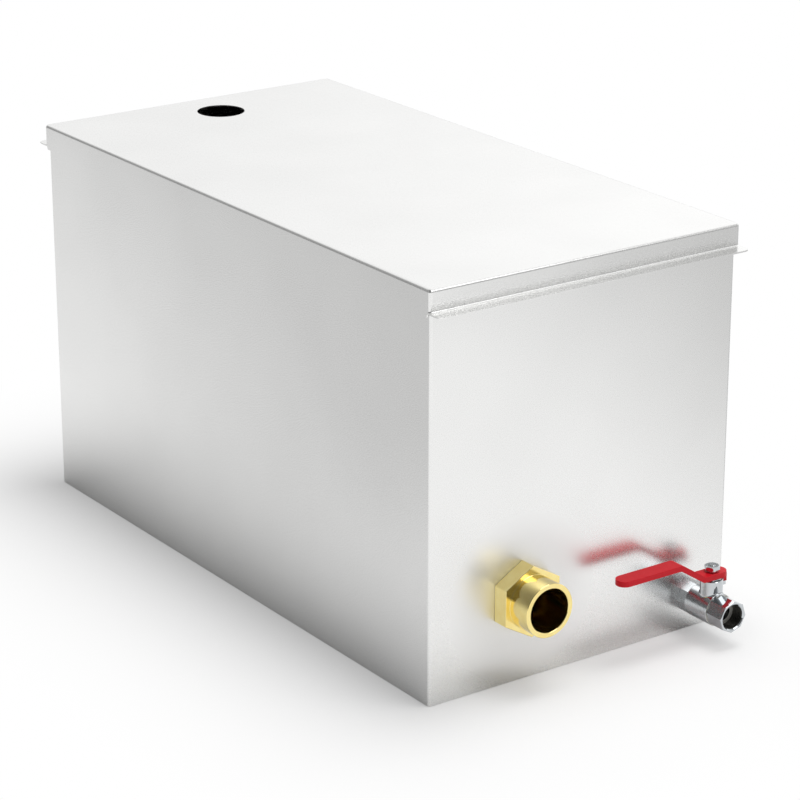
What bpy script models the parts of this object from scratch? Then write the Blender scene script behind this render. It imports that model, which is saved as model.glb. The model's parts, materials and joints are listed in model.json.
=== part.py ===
"""Stainless steel grease trap with a lift-off lid, a brass outlet and a drain ball valve.

The origin is the middle of the tank's underside, +Z is up, and the end wall that
carries the outlet and the drain valve faces -Y. All sizes are in metres.
"""

import math

import bmesh
import bpy
from mathutils import Vector

# Tank
TANK_LENGTH = 0.598
TANK_WIDTH = 0.3055
TANK_HEIGHT = 0.3455
TANK_SHEET = 0.0012
TANK_CORNER_RADIUS = 0.0025
RIM_WIDTH = 0.010
FLOOR_EDGE_HEIGHT = 0.010
FLOOR_EDGE_RADIUS = 0.0024
SEAT_GAP = 0.0003

# Lid
LID_SHEET = 0.0012
LID_CLEARANCE = 0.0013
LID_SIDE_SKIRT = 0.023
LID_END_SKIRT = 0.019
LID_EDGE_RADIUS = 0.003
LIP_DEPTH = 0.0142
LIP_CORNER_RADIUS = 0.006
LIP_BEND_RADIUS = 0.0015
APRON_TRIM = 0.001
INLET_DIAMETER = 0.044
INLET_FROM_REAR = 0.0487
INLET_OFFSET = 0.002
GASKET_THICKNESS = 0.0027
GASKET_MARGIN = 0.0009

# Baffles and the channels that hold them
BAFFLE_SHEET = 0.0012
BAFFLE_BEND_RADIUS = 0.0012
INLET_CHAMBER = 0.177
OUTLET_CHAMBER = 0.128
UNDERFLOW_HEIGHT = 0.060
BAFFLE_TOP_DROP = 0.0275
BAFFLE_FOLD = 0.018
BAFFLE_ENGAGEMENT = 0.0055
HAND_SLOT_LENGTH = 0.090
HAND_SLOT_HEIGHT = 0.022
HAND_SLOT_DROP = 0.028
CHANNEL_DEPTH = 0.016
CHANNEL_WIDTH = 0.003
CHANNEL_SHEET = 0.0012

# Strainer basket and its rails
BASKET_SHEET = 0.0012
BASKET_RIM_DROP = 0.0335
BASKET_DEPTH = 0.160
BASKET_CORNER_RADIUS = 0.012
BASKET_FLANGE = 0.012
BASKET_END_CLEARANCE = 0.004
BASKET_SIDE_GAP = 0.0155
BASKET_SLOT_WIDTH = 0.004
BASKET_SLOT_LENGTH = 0.045
BASKET_SLOT_PITCH = 0.020
BASKET_LOWER_ROW = 0.42
FLOOR_SLOT_OFFSET = 0.027
RAIL_SHEET = 0.002
RAIL_LEG = 0.018
RAIL_BEND_RADIUS = 0.002
RAIL_OVERLAP = 0.008
HANDLE_ROD = 0.006
HANDLE_RISE = 0.024
HANDLE_FOOT = 0.022
HANDLE_BEND = 0.012
HANDLE_SIDES = 10
HANDLE_BEND_STEPS = 5

# Brass outlet, inside elbow and standpipe
OUTLET_FROM_SIDE = 0.09155
OUTLET_HEIGHT = 0.0738
OUTLET_STUB_RADIUS = 0.02305
OUTLET_BORE_RADIUS = 0.0188
OUTLET_STUB_REACH = 0.0219
OUTLET_HEX = 0.054
OUTLET_HEX_THICKNESS = 0.0148
OUTLET_TAIL_RADIUS = 0.0210
OUTLET_TAIL_LENGTH = 0.028
OUTLET_WASHER_OUTER = 0.0246
OUTLET_CHAMFER = 0.0004
WASHER_RECESS_GAP = 0.0003
WASHER_THICKNESS = 0.0015
INNER_WASHER_THICKNESS = 0.002
BACKNUT_HEX = 0.054
BACKNUT_THICKNESS = 0.009
HOLE_CLEARANCE = 0.0004
THREAD_CLEARANCE = 0.0003
ELBOW_WALL = 0.0035
ELBOW_BAND = 0.002
ELBOW_SOCKET = 0.014
ELBOW_BEND = 0.030
ELBOW_BAND_LENGTH = 0.007
STANDPIPE_DROP = 0.0955
STANDPIPE_WALL = 0.0015

# Drain valve, measured outwards from the end wall
VALVE_FROM_SIDE = 0.03525
VALVE_HEIGHT = 0.0288
VALVE_END_FLATS = 0.0256
VALVE_INLET_TURN = math.radians(4.3)
VALVE_END_TURN = math.radians(-4.8)
VALVE_BARREL_RADIUS = 0.0142
VALVE_INLET_FLATS_LENGTH = 0.0099
BARREL_EDGE = 0.0006
VALVE_END_LENGTH = 0.0184
VALVE_REACH = 0.0555
VALVE_CHAMFER = 0.0005
SOCKET_CHAMFER = 0.0006
STEM_POSITION = 0.0272
NIPPLE_RADIUS = 0.01045
NIPPLE_BORE_RADIUS = 0.0082
NIPPLE_INNER_REACH = 0.022
SOCKET_RADIUS = 0.0106
INLET_SOCKET_DEPTH = 0.0124
OUTLET_SOCKET_DEPTH = 0.0125
PORT_RADIUS = 0.0070
BALL_RADIUS = 0.0105
CHAMBER_CLEARANCE = 0.0006
SEAT_LENGTH = 0.0026
SEAT_FACE_RADIUS = 0.0080
SEAT_FACE_STEP = 0.0006
VALVE_WASHER_OUTER = 0.0118
LOCKNUT_HEX = 0.027
LOCKNUT_THICKNESS = 0.007
LOCKNUT_WASHER_OUTER = 0.0155

# Stem, gland and lever, measured upwards from the valve's centre line
BOSS_RADIUS = 0.0096
BOSS_TOP = 0.0254
BOSS_EDGE = 0.0005
STEM_RADIUS = 0.0039
STEM_CLEARANCE = 0.0003
STEM_COLLAR_RADIUS = 0.0050
STEM_COLLAR_THICKNESS = 0.0016
TONGUE_WIDTH = 0.0030
TONGUE_DEPTH = 0.0026
PACKING_FLOOR = 0.0152
PACKING_HEIGHT = 0.0036
PACKING_RADIUS = 0.0066
GLAND_HEX = 0.0145
GLAND_HEAD = 0.0009
HUB_TOP = 0.0317
LEVER_THICKNESS = 0.0048
LEVER_WIDTH = 0.0150
LEVER_LOW_BEND = 0.0136
LEVER_CREST = 0.0389
LEVER_RISE = 0.0168
LEVER_LENGTH = 0.1018
LEVER_BEND_RADIUS = 0.0012
LEVER_EYE_TO_END = 0.0135
STEM_THREAD_RADIUS = 0.0030
STEM_TIP = 0.0378
STEM_CHAMFER = 0.0006
LEVER_NUT_HEX = 0.0120
LEVER_NUT_NECK = 0.0022
LEVER_NUT_HEIGHT = 0.0031
LEVER_NUT_NECK_RADIUS = 0.0048
LEVER_NUT_CROWN_DROP = 0.0009
LEVER_NUT_CROWN_INSET = 0.0014
STOP_TAB_THICKNESS = 0.0040
STOP_TAB_LENGTH = 0.0119
STOP_TAB_REACH = 0.0157
STOP_TAB_NEAR = -0.0010
STOP_TAB_FAR = 0.0035
STOP_TAB_INSET = 0.0004
STOP_LUG_LOW = 0.0182
STOP_LUG_HIGH = 0.0215
STOP_LUG_WIDTH = 0.0022
STOP_LUG_REACH = 0.0125

# How finely rounds are drawn, and the small margins that shapes need to be joined and cut
ROUND_STEPS = 32
FINE_ROUND_STEPS = 48
HIDDEN_ROUND_STEPS = 24
BALL_ROWS = 14
ELBOW_STEPS = 7
LEVER_END_STEPS = 14
EDGE_STEPS = 4
BEND_STEPS = 3
CORNER_STEPS = 4
LID_CORNER_STEPS = 8
SHARP_RADIUS = 0.0002
CUT_MARGIN = 0.001
MERGE_DISTANCE = 2e-6
SMALLEST_COSINE = 0.01
SMOOTH_ANGLE = math.radians(35)
QUARTER_TURN = math.pi / 2

# Places worked out from the sizes above
HALF_LENGTH = TANK_LENGTH / 2
HALF_WIDTH = TANK_WIDTH / 2
INNER_HALF_LENGTH = HALF_LENGTH - TANK_SHEET
INNER_HALF_WIDTH = HALF_WIDTH - TANK_SHEET
FRONT_FACE = -HALF_LENGTH
OUTLET_X = OUTLET_FROM_SIDE - HALF_WIDTH
VALVE_X = HALF_WIDTH - VALVE_FROM_SIDE
BAFFLE_TOP = TANK_HEIGHT - BAFFLE_TOP_DROP
BASKET_RIM_HEIGHT = TANK_HEIGHT - BASKET_RIM_DROP
STANDPIPE_TOP = TANK_HEIGHT - STANDPIPE_DROP
LID_TOP = TANK_HEIGHT + SEAT_GAP + GASKET_THICKNESS + SEAT_GAP + LID_SHEET


def clear_scene():
    """Remove every object that the file opened with."""
    for item in list(bpy.data.objects):
        bpy.data.objects.remove(item, do_unlink=True)


def make_material(name, colour, roughness, metallic):
    """Return a Principled material with one colour."""
    material = bpy.data.materials.new(name)
    material.use_nodes = True
    shader = material.node_tree.nodes["Principled BSDF"]
    shader.inputs["Base Color"].default_value = (*colour, 1.0)
    shader.inputs["Roughness"].default_value = roughness
    shader.inputs["Metallic"].default_value = metallic
    return material


def make_object(name, mesh_builder, material, parent=None):
    """Turn a finished bmesh into a named object with outward faces and smooth rounds."""
    bmesh.ops.remove_doubles(mesh_builder, verts=mesh_builder.verts, dist=MERGE_DISTANCE)
    bmesh.ops.recalc_face_normals(mesh_builder, faces=mesh_builder.faces)
    mesh = bpy.data.meshes.new(name)
    mesh_builder.to_mesh(mesh)
    mesh_builder.free()
    mesh.materials.append(material)
    mesh.shade_smooth()
    mesh.set_sharp_from_angle(angle=SMOOTH_ANGLE)
    item = bpy.data.objects.new(name, mesh)
    item.parent = parent
    bpy.context.collection.objects.link(item)
    return item


def make_frame(name, location, turn=(0.0, 0.0, 0.0), parent=None):
    """Add an empty that places a group of pieces."""
    frame = bpy.data.objects.new(name, None)
    frame.location = location
    frame.rotation_euler = turn
    frame.parent = parent
    bpy.context.collection.objects.link(frame)
    return frame


def combine(item, tool, operation):
    """Cut, join or intersect an object with a tool that is itself left out of the model."""
    tool.hide_render = True
    tool.display_type = "WIRE"
    step = item.modifiers.new(f"{operation.lower()}_{tool.name}", "BOOLEAN")
    step.operation = operation
    step.solver = "EXACT"
    step.object = tool


def rounded_rectangle(half_x, half_y, radius, steps=CORNER_STEPS):
    """Corner points of a rounded rectangle, counter-clockwise from the +X +Y corner."""
    radius = max(radius, SHARP_RADIUS)
    points = []
    for quarter, (sign_x, sign_y) in enumerate(((1, 1), (-1, 1), (-1, -1), (1, -1))):
        centre_x = sign_x * (half_x - radius)
        centre_y = sign_y * (half_y - radius)
        for step in range(steps + 1):
            angle = QUARTER_TURN * (quarter + step / steps)
            points.append((centre_x + radius * math.cos(angle), centre_y + radius * math.sin(angle)))
    return points


def arc(centre, radius, start, end, steps):
    """Points of an arc in a plane, angles in radians."""
    points = []
    for step in range(steps + 1):
        angle = start + (end - start) * step / steps
        points.append((centre[0] + radius * math.cos(angle), centre[1] + radius * math.sin(angle)))
    return points


def loft(loops, ring=False):
    """Skin a stack of equal loops; a ring closes on itself, otherwise both ends are capped."""
    builder = bmesh.new()
    rows = [[builder.verts.new(point) for point in loop] for loop in loops]
    count = len(rows[0])
    pairs = list(zip(rows, rows[1:]))
    if ring:
        pairs.append((rows[-1], rows[0]))
    for lower, upper in pairs:
        for index in range(count):
            following = (index + 1) % count
            builder.faces.new((lower[index], lower[following], upper[following], upper[index]))
    if not ring:
        builder.faces.new(rows[0])
        builder.faces.new(rows[-1])
    return builder


def turned(profile, steps=ROUND_STEPS):
    """Revolve a closed profile of (radius, height) points about the local Z axis."""
    builder = bmesh.new()
    points = [builder.verts.new((radius, 0.0, height)) for radius, height in profile]
    edges = []
    for index, point in enumerate(points):
        edges.append(builder.edges.new((point, points[(index + 1) % len(points)])))
    bmesh.ops.spin(
        builder,
        geom=points + edges,
        cent=(0.0, 0.0, 0.0),
        axis=(0.0, 0.0, 1.0),
        angle=2 * math.pi,
        steps=steps,
        use_merge=True,
    )
    bmesh.ops.remove_doubles(builder, verts=builder.verts, dist=MERGE_DISTANCE)
    bmesh.ops.dissolve_degenerate(builder, edges=builder.edges, dist=MERGE_DISTANCE)
    return builder


def tube(outer, inner, low, high, steps=ROUND_STEPS):
    """A plain ring between two heights."""
    return turned([(outer, low), (outer, high), (inner, high), (inner, low)], steps)


def prism(outline, low, high):
    """Extrude a plane outline along the local Z axis."""
    return loft([[(x, y, low) for x, y in outline], [(x, y, high) for x, y in outline]])


def polygon(flats, sides, turn=0.0):
    """Outline of a regular polygon with the given width across flats."""
    corner = flats / 2 / math.cos(math.pi / sides)
    points = []
    for index in range(sides):
        angle = turn + 2 * math.pi * index / sides
        points.append((corner * math.cos(angle), corner * math.sin(angle)))
    return points


def bent_strip(corners, thickness, inner_radius, steps=4):
    """Closed outline of a strip bent along a centre line with rounded bends."""
    radius = inner_radius + thickness / 2
    line = [Vector(corner) for corner in corners]
    samples = []
    first = (line[1] - line[0]).normalized()
    samples.append((line[0], first))
    for before, corner, after in zip(line, line[1:], line[2:]):
        arriving = (corner - before).normalized()
        leaving = (after - corner).normalized()
        bend = arriving.angle_signed(leaving)
        setback = radius * math.tan(abs(bend) / 2)
        side = Vector((arriving.y, -arriving.x)) if bend > 0 else Vector((-arriving.y, arriving.x))
        centre = corner - arriving * setback + side * radius
        for step in range(steps + 1):
            turn = bend * step / steps
            direction = Vector((
                arriving.x * math.cos(turn) + arriving.y * math.sin(turn),
                -arriving.x * math.sin(turn) + arriving.y * math.cos(turn),
            ))
            outward = Vector((-direction.y, direction.x))
            if bend < 0:
                outward = -outward
            samples.append((centre + outward * radius, direction))
    last = (line[-1] - line[-2]).normalized()
    samples.append((line[-1], last))
    left = []
    right = []
    for point, direction in samples:
        normal = Vector((-direction.y, direction.x)) * (thickness / 2)
        left.append(tuple(point + normal))
        right.append(tuple(point - normal))
    return left + right[::-1]


def extrude_along_y(outline, low, high):
    """Extrude an outline drawn in the X-Z plane along Y."""
    return loft([[(x, low, z) for x, z in outline], [(x, high, z) for x, z in outline]])


def extrude_along_x(outline, low, high):
    """Extrude an outline drawn in the Y-Z plane along X."""
    return loft([[(low, y, z) for y, z in outline], [(high, y, z) for y, z in outline]])


def box(low, high):
    """A plain block between two corners."""
    outline = [(low[0], low[1]), (high[0], low[1]), (high[0], high[1]), (low[0], high[1])]
    return prism(outline, low[2], high[2])


STAINLESS = make_material("satin_stainless", (0.78, 0.78, 0.78), 0.28, 1.0)
INNER_STAINLESS = make_material("mill_stainless", (0.70, 0.71, 0.71), 0.38, 1.0)
BRASS = make_material("machined_brass", (0.80, 0.60, 0.22), 0.22, 1.0)
CHROME = make_material("chromed_brass", (0.72, 0.73, 0.74), 0.10, 1.0)
RED_PAINT = make_material("red_lever_coating", (0.62, 0.02, 0.03), 0.38, 0.0)
RUBBER = make_material("black_rubber", (0.03, 0.03, 0.03), 0.75, 0.0)
SEAT_PLASTIC = make_material("white_seat_plastic", (0.85, 0.85, 0.83), 0.5, 0.0)

clear_scene()

tank_frame = make_frame("tank_frame", (0.0, 0.0, 0.0))
outlet_frame = make_frame(
    "outlet_frame", (OUTLET_X, FRONT_FACE, OUTLET_HEIGHT), (QUARTER_TURN, 0.0, 0.0), tank_frame
)
valve_frame = make_frame(
    "valve_frame", (VALVE_X, FRONT_FACE, VALVE_HEIGHT), (QUARTER_TURN, 0.0, 0.0), tank_frame
)
stem_frame = make_frame(
    "stem_frame", (VALVE_X, FRONT_FACE - STEM_POSITION, VALVE_HEIGHT), parent=tank_frame
)


def wall_loop(inset, z):
    """The tank's outline moved inwards by an inset, at one height."""
    outline = rounded_rectangle(HALF_WIDTH - inset, HALF_LENGTH - inset, TANK_CORNER_RADIUS - inset)
    return [(x, y, z) for x, y in outline]


def build_tank_walls():
    """Four walls folded from one sheet, with a rim turned inwards and two fitting holes."""
    bend = TANK_CORNER_RADIUS
    outer_bend = arc((bend, TANK_HEIGHT - bend), bend, math.pi, QUARTER_TURN, BEND_STEPS)
    inner_bend = arc(
        (bend, TANK_HEIGHT - bend), bend - TANK_SHEET, QUARTER_TURN, math.pi, BEND_STEPS
    )
    section = [(0.0, 0.0)]
    section += outer_bend
    section.append((RIM_WIDTH, TANK_HEIGHT))
    section.append((RIM_WIDTH, TANK_HEIGHT - TANK_SHEET))
    section += inner_bend
    section.append((TANK_SHEET, 0.0))
    loops = [wall_loop(inset, z) for inset, z in section]
    walls = make_object("tank_walls", loft(loops, ring=True), STAINLESS, tank_frame)
    holes = (
        ("outlet_hole", outlet_frame, OUTLET_TAIL_RADIUS + HOLE_CLEARANCE, FINE_ROUND_STEPS),
        ("valve_hole", valve_frame, NIPPLE_RADIUS + HOLE_CLEARANCE, ROUND_STEPS),
    )
    for name, frame, radius, steps in holes:
        outline = polygon(2 * radius * math.cos(math.pi / steps), steps)
        reach = 3 * TANK_SHEET
        combine(walls, make_object(name, prism(outline, -reach, reach), STAINLESS, frame), "DIFFERENCE")


def build_tank_floor():
    """The floor plate, a shallow tray welded inside the walls."""
    fit = TANK_SHEET + SEAT_GAP
    radius = FLOOR_EDGE_RADIUS
    outer_bend = arc((fit + radius, radius), radius, 3 * QUARTER_TURN, math.pi, BEND_STEPS)
    inner_bend = arc(
        (fit + radius, radius), radius - TANK_SHEET, math.pi, 3 * QUARTER_TURN, BEND_STEPS
    )
    section = outer_bend
    section.append((fit, FLOOR_EDGE_HEIGHT))
    section.append((fit + TANK_SHEET, FLOOR_EDGE_HEIGHT))
    section += inner_bend
    loops = [wall_loop(inset, z) for inset, z in section]
    make_object("tank_floor", loft(loops), INNER_STAINLESS, tank_frame)


def build_rim_gasket():
    """A flat rubber frame glued on the rim, under the lid."""
    low = TANK_HEIGHT + SEAT_GAP
    high = low + GASKET_THICKNESS
    outer = TANK_CORNER_RADIUS + GASKET_MARGIN / 3
    inner = RIM_WIDTH - GASKET_MARGIN
    section = [(outer, low), (outer, high), (inner, high), (inner, low)]
    loops = [wall_loop(inset, z) for inset, z in section]
    make_object("rim_gasket", loft(loops, ring=True), RUBBER, tank_frame)


LID_HALF_WIDTH = HALF_WIDTH + LID_CLEARANCE + LID_SHEET
LID_HALF_LENGTH = HALF_LENGTH + LID_CLEARANCE + LID_SHEET
LIP_TOP = LID_TOP - LID_END_SKIRT
LIP_UNDERSIDE = LIP_TOP - LID_SHEET
APRON_BOTTOM = LID_TOP - LID_SIDE_SKIRT


def lid_corner(inset, end_z, side_z, lip):
    """Points of the +X +Y corner, from the long side's apron to the end wall.

    A lip grows out of the end wall only: its own ends stay in the plane of the long side.
    """
    half_x = LID_HALF_WIDTH - inset
    half_y = LID_HALF_LENGTH - inset
    radius = max(LID_EDGE_RADIUS - inset, SHARP_RADIUS)
    corner = [(half_x, half_y - radius - APRON_TRIM, side_z)]
    for step in range(LID_CORNER_STEPS + 1):
        angle = QUARTER_TURN * step / LID_CORNER_STEPS
        reach = radius + min(lip, side_reach(angle, radius))
        x = half_x - radius + reach * math.cos(angle)
        y = half_y - radius + reach * math.sin(angle)
        corner.append((x, y, end_z))
    return corner


def side_reach(angle, radius):
    """How far a corner point can move outwards before it meets the plane of the long side."""
    return radius * (1 / max(math.cos(angle), SMALLEST_COSINE) - 1)


def lip_corner(z, side_z):
    """The same corner at the lip's full depth, with its own rounded tip."""
    root = lid_corner(0.0, z, side_z, LIP_BEND_RADIUS)
    on_side = [point for point in root if point[0] > LID_HALF_WIDTH - SHARP_RADIUS / 10]
    centre_x = LID_HALF_WIDTH - LIP_CORNER_RADIUS
    centre_y = LID_HALF_LENGTH + LIP_DEPTH - LIP_CORNER_RADIUS
    steps = len(root) - len(on_side) - 1
    tip = arc((centre_x, centre_y), LIP_CORNER_RADIUS, 0.0, QUARTER_TURN, steps)
    return on_side + [(x, y, z) for x, y in tip]


def around(corner):
    """Repeat one corner at all four corners of the lid, counter-clockwise."""
    loop = []
    for sign_x, sign_y in ((1, 1), (-1, 1), (-1, -1), (1, -1)):
        points = [(sign_x * x, sign_y * y, z) for x, y, z in corner]
        loop += points if sign_x == sign_y else points[::-1]
    return loop


def build_lid():
    """A folded cap lid: rolled top edges, long aprons, and end skirts turned out into lips."""
    radius = LID_EDGE_RADIUS
    loops = []
    for step in range(EDGE_STEPS + 1):
        angle = QUARTER_TURN * step / EDGE_STEPS
        z = LID_TOP - radius * (1 - math.cos(angle))
        loops.append(around(lid_corner(radius * (1 - math.sin(angle)), z, z, 0.0)))
    for step in range(BEND_STEPS + 1):
        angle = QUARTER_TURN * step / BEND_STEPS
        z = LIP_TOP + LIP_BEND_RADIUS * (1 - math.sin(angle))
        loops.append(around(lid_corner(0.0, z, z, LIP_BEND_RADIUS * (1 - math.cos(angle)))))
    loops.append(around(lip_corner(LIP_TOP, LIP_TOP)))
    loops.append(around(lip_corner(LIP_UNDERSIDE, APRON_BOTTOM)))
    loops.append(around(lid_corner(LID_SHEET, LIP_UNDERSIDE, APRON_BOTTOM, 0.0)))
    inner_radius = radius - LID_SHEET
    for step in range(EDGE_STEPS + 1):
        angle = QUARTER_TURN * (1 - step / EDGE_STEPS)
        z = LID_TOP - LID_SHEET - inner_radius * (1 - math.cos(angle))
        loops.append(around(lid_corner(radius - inner_radius * math.sin(angle), z, z, 0.0)))
    lid = make_object("lid", loft(loops), STAINLESS)
    outline = polygon(INLET_DIAMETER * math.cos(math.pi / FINE_ROUND_STEPS), FINE_ROUND_STEPS)
    reach = 3 * LID_SHEET
    hole = make_object("inlet_hole", prism(outline, LID_TOP - reach, LID_TOP + reach), STAINLESS)
    hole.location = (INLET_OFFSET, HALF_LENGTH - INLET_FROM_REAR, 0.0)
    combine(lid, hole, "DIFFERENCE")


INLET_BAFFLE_Y = INNER_HALF_LENGTH - INLET_CHAMBER
OUTLET_BAFFLE_Y = -INNER_HALF_LENGTH + OUTLET_CHAMBER
CHANNEL_BACK = INNER_HALF_WIDTH - SEAT_GAP
CHANNEL_TIP = CHANNEL_BACK - CHANNEL_DEPTH
BAFFLE_HALF_WIDTH = CHANNEL_TIP + BAFFLE_ENGAGEMENT


def build_channel(name, side, y):
    """A narrow U channel welded upright on a long wall."""
    middle = CHANNEL_SHEET / 2
    leg = CHANNEL_WIDTH / 2 + middle
    back = CHANNEL_BACK - middle
    path = [(CHANNEL_TIP, y - leg), (back, y - leg), (back, y + leg), (CHANNEL_TIP, y + leg)]
    outline = [(side * x, depth) for x, depth in bent_strip(path, CHANNEL_SHEET, CHANNEL_SHEET / 4, 2)]
    make_object(name, prism(outline, UNDERFLOW_HEIGHT, BAFFLE_TOP), INNER_STAINLESS, tank_frame)


def build_baffle(name, y, fold_direction):
    """A sliding baffle that hangs by its folded top edge on its two channels."""
    middle = BAFFLE_SHEET / 2
    top = BAFFLE_TOP + SEAT_GAP + middle
    path = [(y, UNDERFLOW_HEIGHT), (y, top), (y + fold_direction * BAFFLE_FOLD, top)]
    outline = bent_strip(path, BAFFLE_SHEET, BAFFLE_BEND_RADIUS)
    builder = extrude_along_x(outline, -BAFFLE_HALF_WIDTH, BAFFLE_HALF_WIDTH)
    baffle = make_object(name, builder, INNER_STAINLESS, tank_frame)
    slot_outline = rounded_rectangle(HAND_SLOT_LENGTH / 2, HAND_SLOT_HEIGHT / 2, HAND_SLOT_HEIGHT / 2)
    reach = 4 * BAFFLE_SHEET
    cutter = prism(slot_outline, -reach, reach)
    slot = make_object(f"{name}_hand_slot", cutter, INNER_STAINLESS, tank_frame)
    slot.location = (0.0, y, BAFFLE_TOP - HAND_SLOT_DROP)
    slot.rotation_euler = (QUARTER_TURN, 0.0, 0.0)
    combine(baffle, slot, "DIFFERENCE")


BASKET_FRONT = INLET_BAFFLE_Y + BAFFLE_SHEET / 2 + 3 * BASKET_END_CLEARANCE + BASKET_FLANGE
BASKET_REAR = INNER_HALF_LENGTH - BASKET_END_CLEARANCE - BASKET_FLANGE
BASKET_MIDDLE = (BASKET_FRONT + BASKET_REAR) / 2
BASKET_HALF_Y = (BASKET_REAR - BASKET_FRONT) / 2
BASKET_HALF_X = INNER_HALF_WIDTH - BASKET_SIDE_GAP - BASKET_FLANGE
BASKET_FLOOR = BASKET_RIM_HEIGHT - BASKET_DEPTH
RAIL_TOP = BASKET_RIM_HEIGHT - BASKET_SHEET - SEAT_GAP
RAIL_WIDTH = BASKET_SIDE_GAP + RAIL_OVERLAP


def build_rail(name, side):
    """An angle bracket welded along a long wall, which carries the basket's flange."""
    middle = RAIL_SHEET / 2
    outer = INNER_HALF_WIDTH - SEAT_GAP - middle
    inner = INNER_HALF_WIDTH - RAIL_WIDTH
    path = [(outer, RAIL_TOP - RAIL_LEG), (outer, RAIL_TOP - middle), (inner, RAIL_TOP - middle)]
    outline = [(side * x, z) for x, z in bent_strip(path, RAIL_SHEET, RAIL_BEND_RADIUS, 3)]
    low = BASKET_FRONT - BASKET_FLANGE
    high = BASKET_REAR + BASKET_FLANGE
    make_object(name, extrude_along_y(outline, low, high), INNER_STAINLESS, tank_frame)


def basket_loop(grow, z, radius):
    """The basket's outline, grown outwards by an amount, at one height."""
    outline = rounded_rectangle(BASKET_HALF_X + grow, BASKET_HALF_Y + grow, radius, 3)
    return [(x, y + BASKET_MIDDLE, z) for x, y in outline]


def slot_places(half_span):
    """Evenly pitched slot centres that stay clear of the rounded corners."""
    usable = half_span - BASKET_CORNER_RADIUS - BASKET_SLOT_WIDTH
    count = 2 * int(usable / BASKET_SLOT_PITCH) + 1
    return [(index - (count - 1) / 2) * BASKET_SLOT_PITCH for index in range(count)]


def add_slot(builder, centre, size):
    """Add one block to the joined slot cutter."""
    block = bmesh.ops.create_cube(builder, size=1.0)["verts"]
    bmesh.ops.scale(builder, verts=block, vec=size)
    bmesh.ops.translate(builder, verts=block, vec=centre)


def build_strainer_basket():
    """A pressed basket with slotted walls and floor and a flange all round."""
    corner = BASKET_CORNER_RADIUS
    sheet = BASKET_SHEET
    top = BASKET_RIM_HEIGHT
    low = BASKET_FLOOR
    loops = [
        basket_loop(-corner / 2, low, corner / 2),
        basket_loop(0.0, low + corner / 2, corner),
        basket_loop(0.0, top - sheet, corner),
        basket_loop(BASKET_FLANGE, top - sheet, corner + BASKET_FLANGE),
        basket_loop(BASKET_FLANGE, top, corner + BASKET_FLANGE),
        basket_loop(-sheet, top, corner - sheet),
        basket_loop(-sheet, low + corner / 2 + sheet / 2, corner - sheet),
        basket_loop(-corner / 2 - sheet / 2, low + sheet, corner / 2),
    ]
    basket = make_object("strainer_basket", loft(loops), INNER_STAINLESS, tank_frame)
    slots = bmesh.new()
    lower_row = low + BASKET_LOWER_ROW * BASKET_DEPTH
    wall_rows = (lower_row - BASKET_SLOT_LENGTH / 2, lower_row + BASKET_SLOT_LENGTH)
    for x in slot_places(BASKET_HALF_X):
        for z in wall_rows:
            size = (BASKET_SLOT_WIDTH, 2 * BASKET_HALF_Y + 4 * sheet, BASKET_SLOT_LENGTH)
            add_slot(slots, (x, BASKET_MIDDLE, z), size)
    for y in slot_places(BASKET_HALF_Y):
        for z in wall_rows:
            size = (2 * BASKET_HALF_X + 4 * sheet, BASKET_SLOT_WIDTH, BASKET_SLOT_LENGTH)
            add_slot(slots, (0.0, BASKET_MIDDLE + y, z), size)
    wall_cutter = make_object("basket_wall_slots", slots, INNER_STAINLESS, tank_frame)
    combine(basket, wall_cutter, "DIFFERENCE")
    slots = bmesh.new()
    for x in slot_places(BASKET_HALF_X):
        for y in (-FLOOR_SLOT_OFFSET, FLOOR_SLOT_OFFSET):
            size = (BASKET_SLOT_WIDTH, BASKET_SLOT_LENGTH, 4 * sheet)
            add_slot(slots, (x, BASKET_MIDDLE + y, low), size)
    floor_cutter = make_object("basket_floor_slots", slots, INNER_STAINLESS, tank_frame)
    combine(basket, floor_cutter, "DIFFERENCE")


def swept_tube(path, radius, sides):
    """A round rod of one radius that follows a flat path in the X-Z plane, with capped ends."""
    loops = []
    for index, point in enumerate(path):
        before = Vector(path[max(index - 1, 0)])
        after = Vector(path[min(index + 1, len(path) - 1)])
        along = (after - before).normalized()
        across = Vector((-along.y, along.x))
        loop = []
        for side in range(sides):
            angle = 2 * math.pi * side / sides
            offset = across * radius * math.cos(angle)
            loop.append((point[0] + offset.x, radius * math.sin(angle), point[1] + offset.y))
        loops.append(loop)
    return loft(loops)


def build_basket_handle():
    """A bent rod welded inside the basket's two end walls, to lift it by."""
    foot_x = BASKET_HALF_X - BASKET_SHEET - SEAT_GAP - HANDLE_ROD / 2
    low = BASKET_RIM_HEIGHT - HANDLE_FOOT
    high = BASKET_RIM_HEIGHT + HANDLE_RISE
    bend = HANDLE_BEND
    path = [(-foot_x, low)]
    path += arc((-foot_x + bend, high - bend), bend, math.pi, QUARTER_TURN, HANDLE_BEND_STEPS)
    path += arc((foot_x - bend, high - bend), bend, QUARTER_TURN, 0.0, HANDLE_BEND_STEPS)
    path.append((foot_x, low))
    rod = swept_tube(path, HANDLE_ROD / 2, HANDLE_SIDES)
    handle = make_object("basket_handle", rod, INNER_STAINLESS, tank_frame)
    handle.location = (0.0, BASKET_MIDDLE, 0.0)


OUTLET_HEX_BACK = SEAT_GAP
OUTLET_RECESS_FLOOR = SEAT_GAP + WASHER_THICKNESS + SEAT_GAP
OUTLET_HEX_FRONT = OUTLET_HEX_BACK + OUTLET_HEX_THICKNESS
OUTLET_END = OUTLET_HEX_FRONT + OUTLET_STUB_REACH
INNER_WASHER_FACE = -TANK_SHEET - SEAT_GAP
NUT_FACE = INNER_WASHER_FACE - INNER_WASHER_THICKNESS - SEAT_GAP


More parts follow.
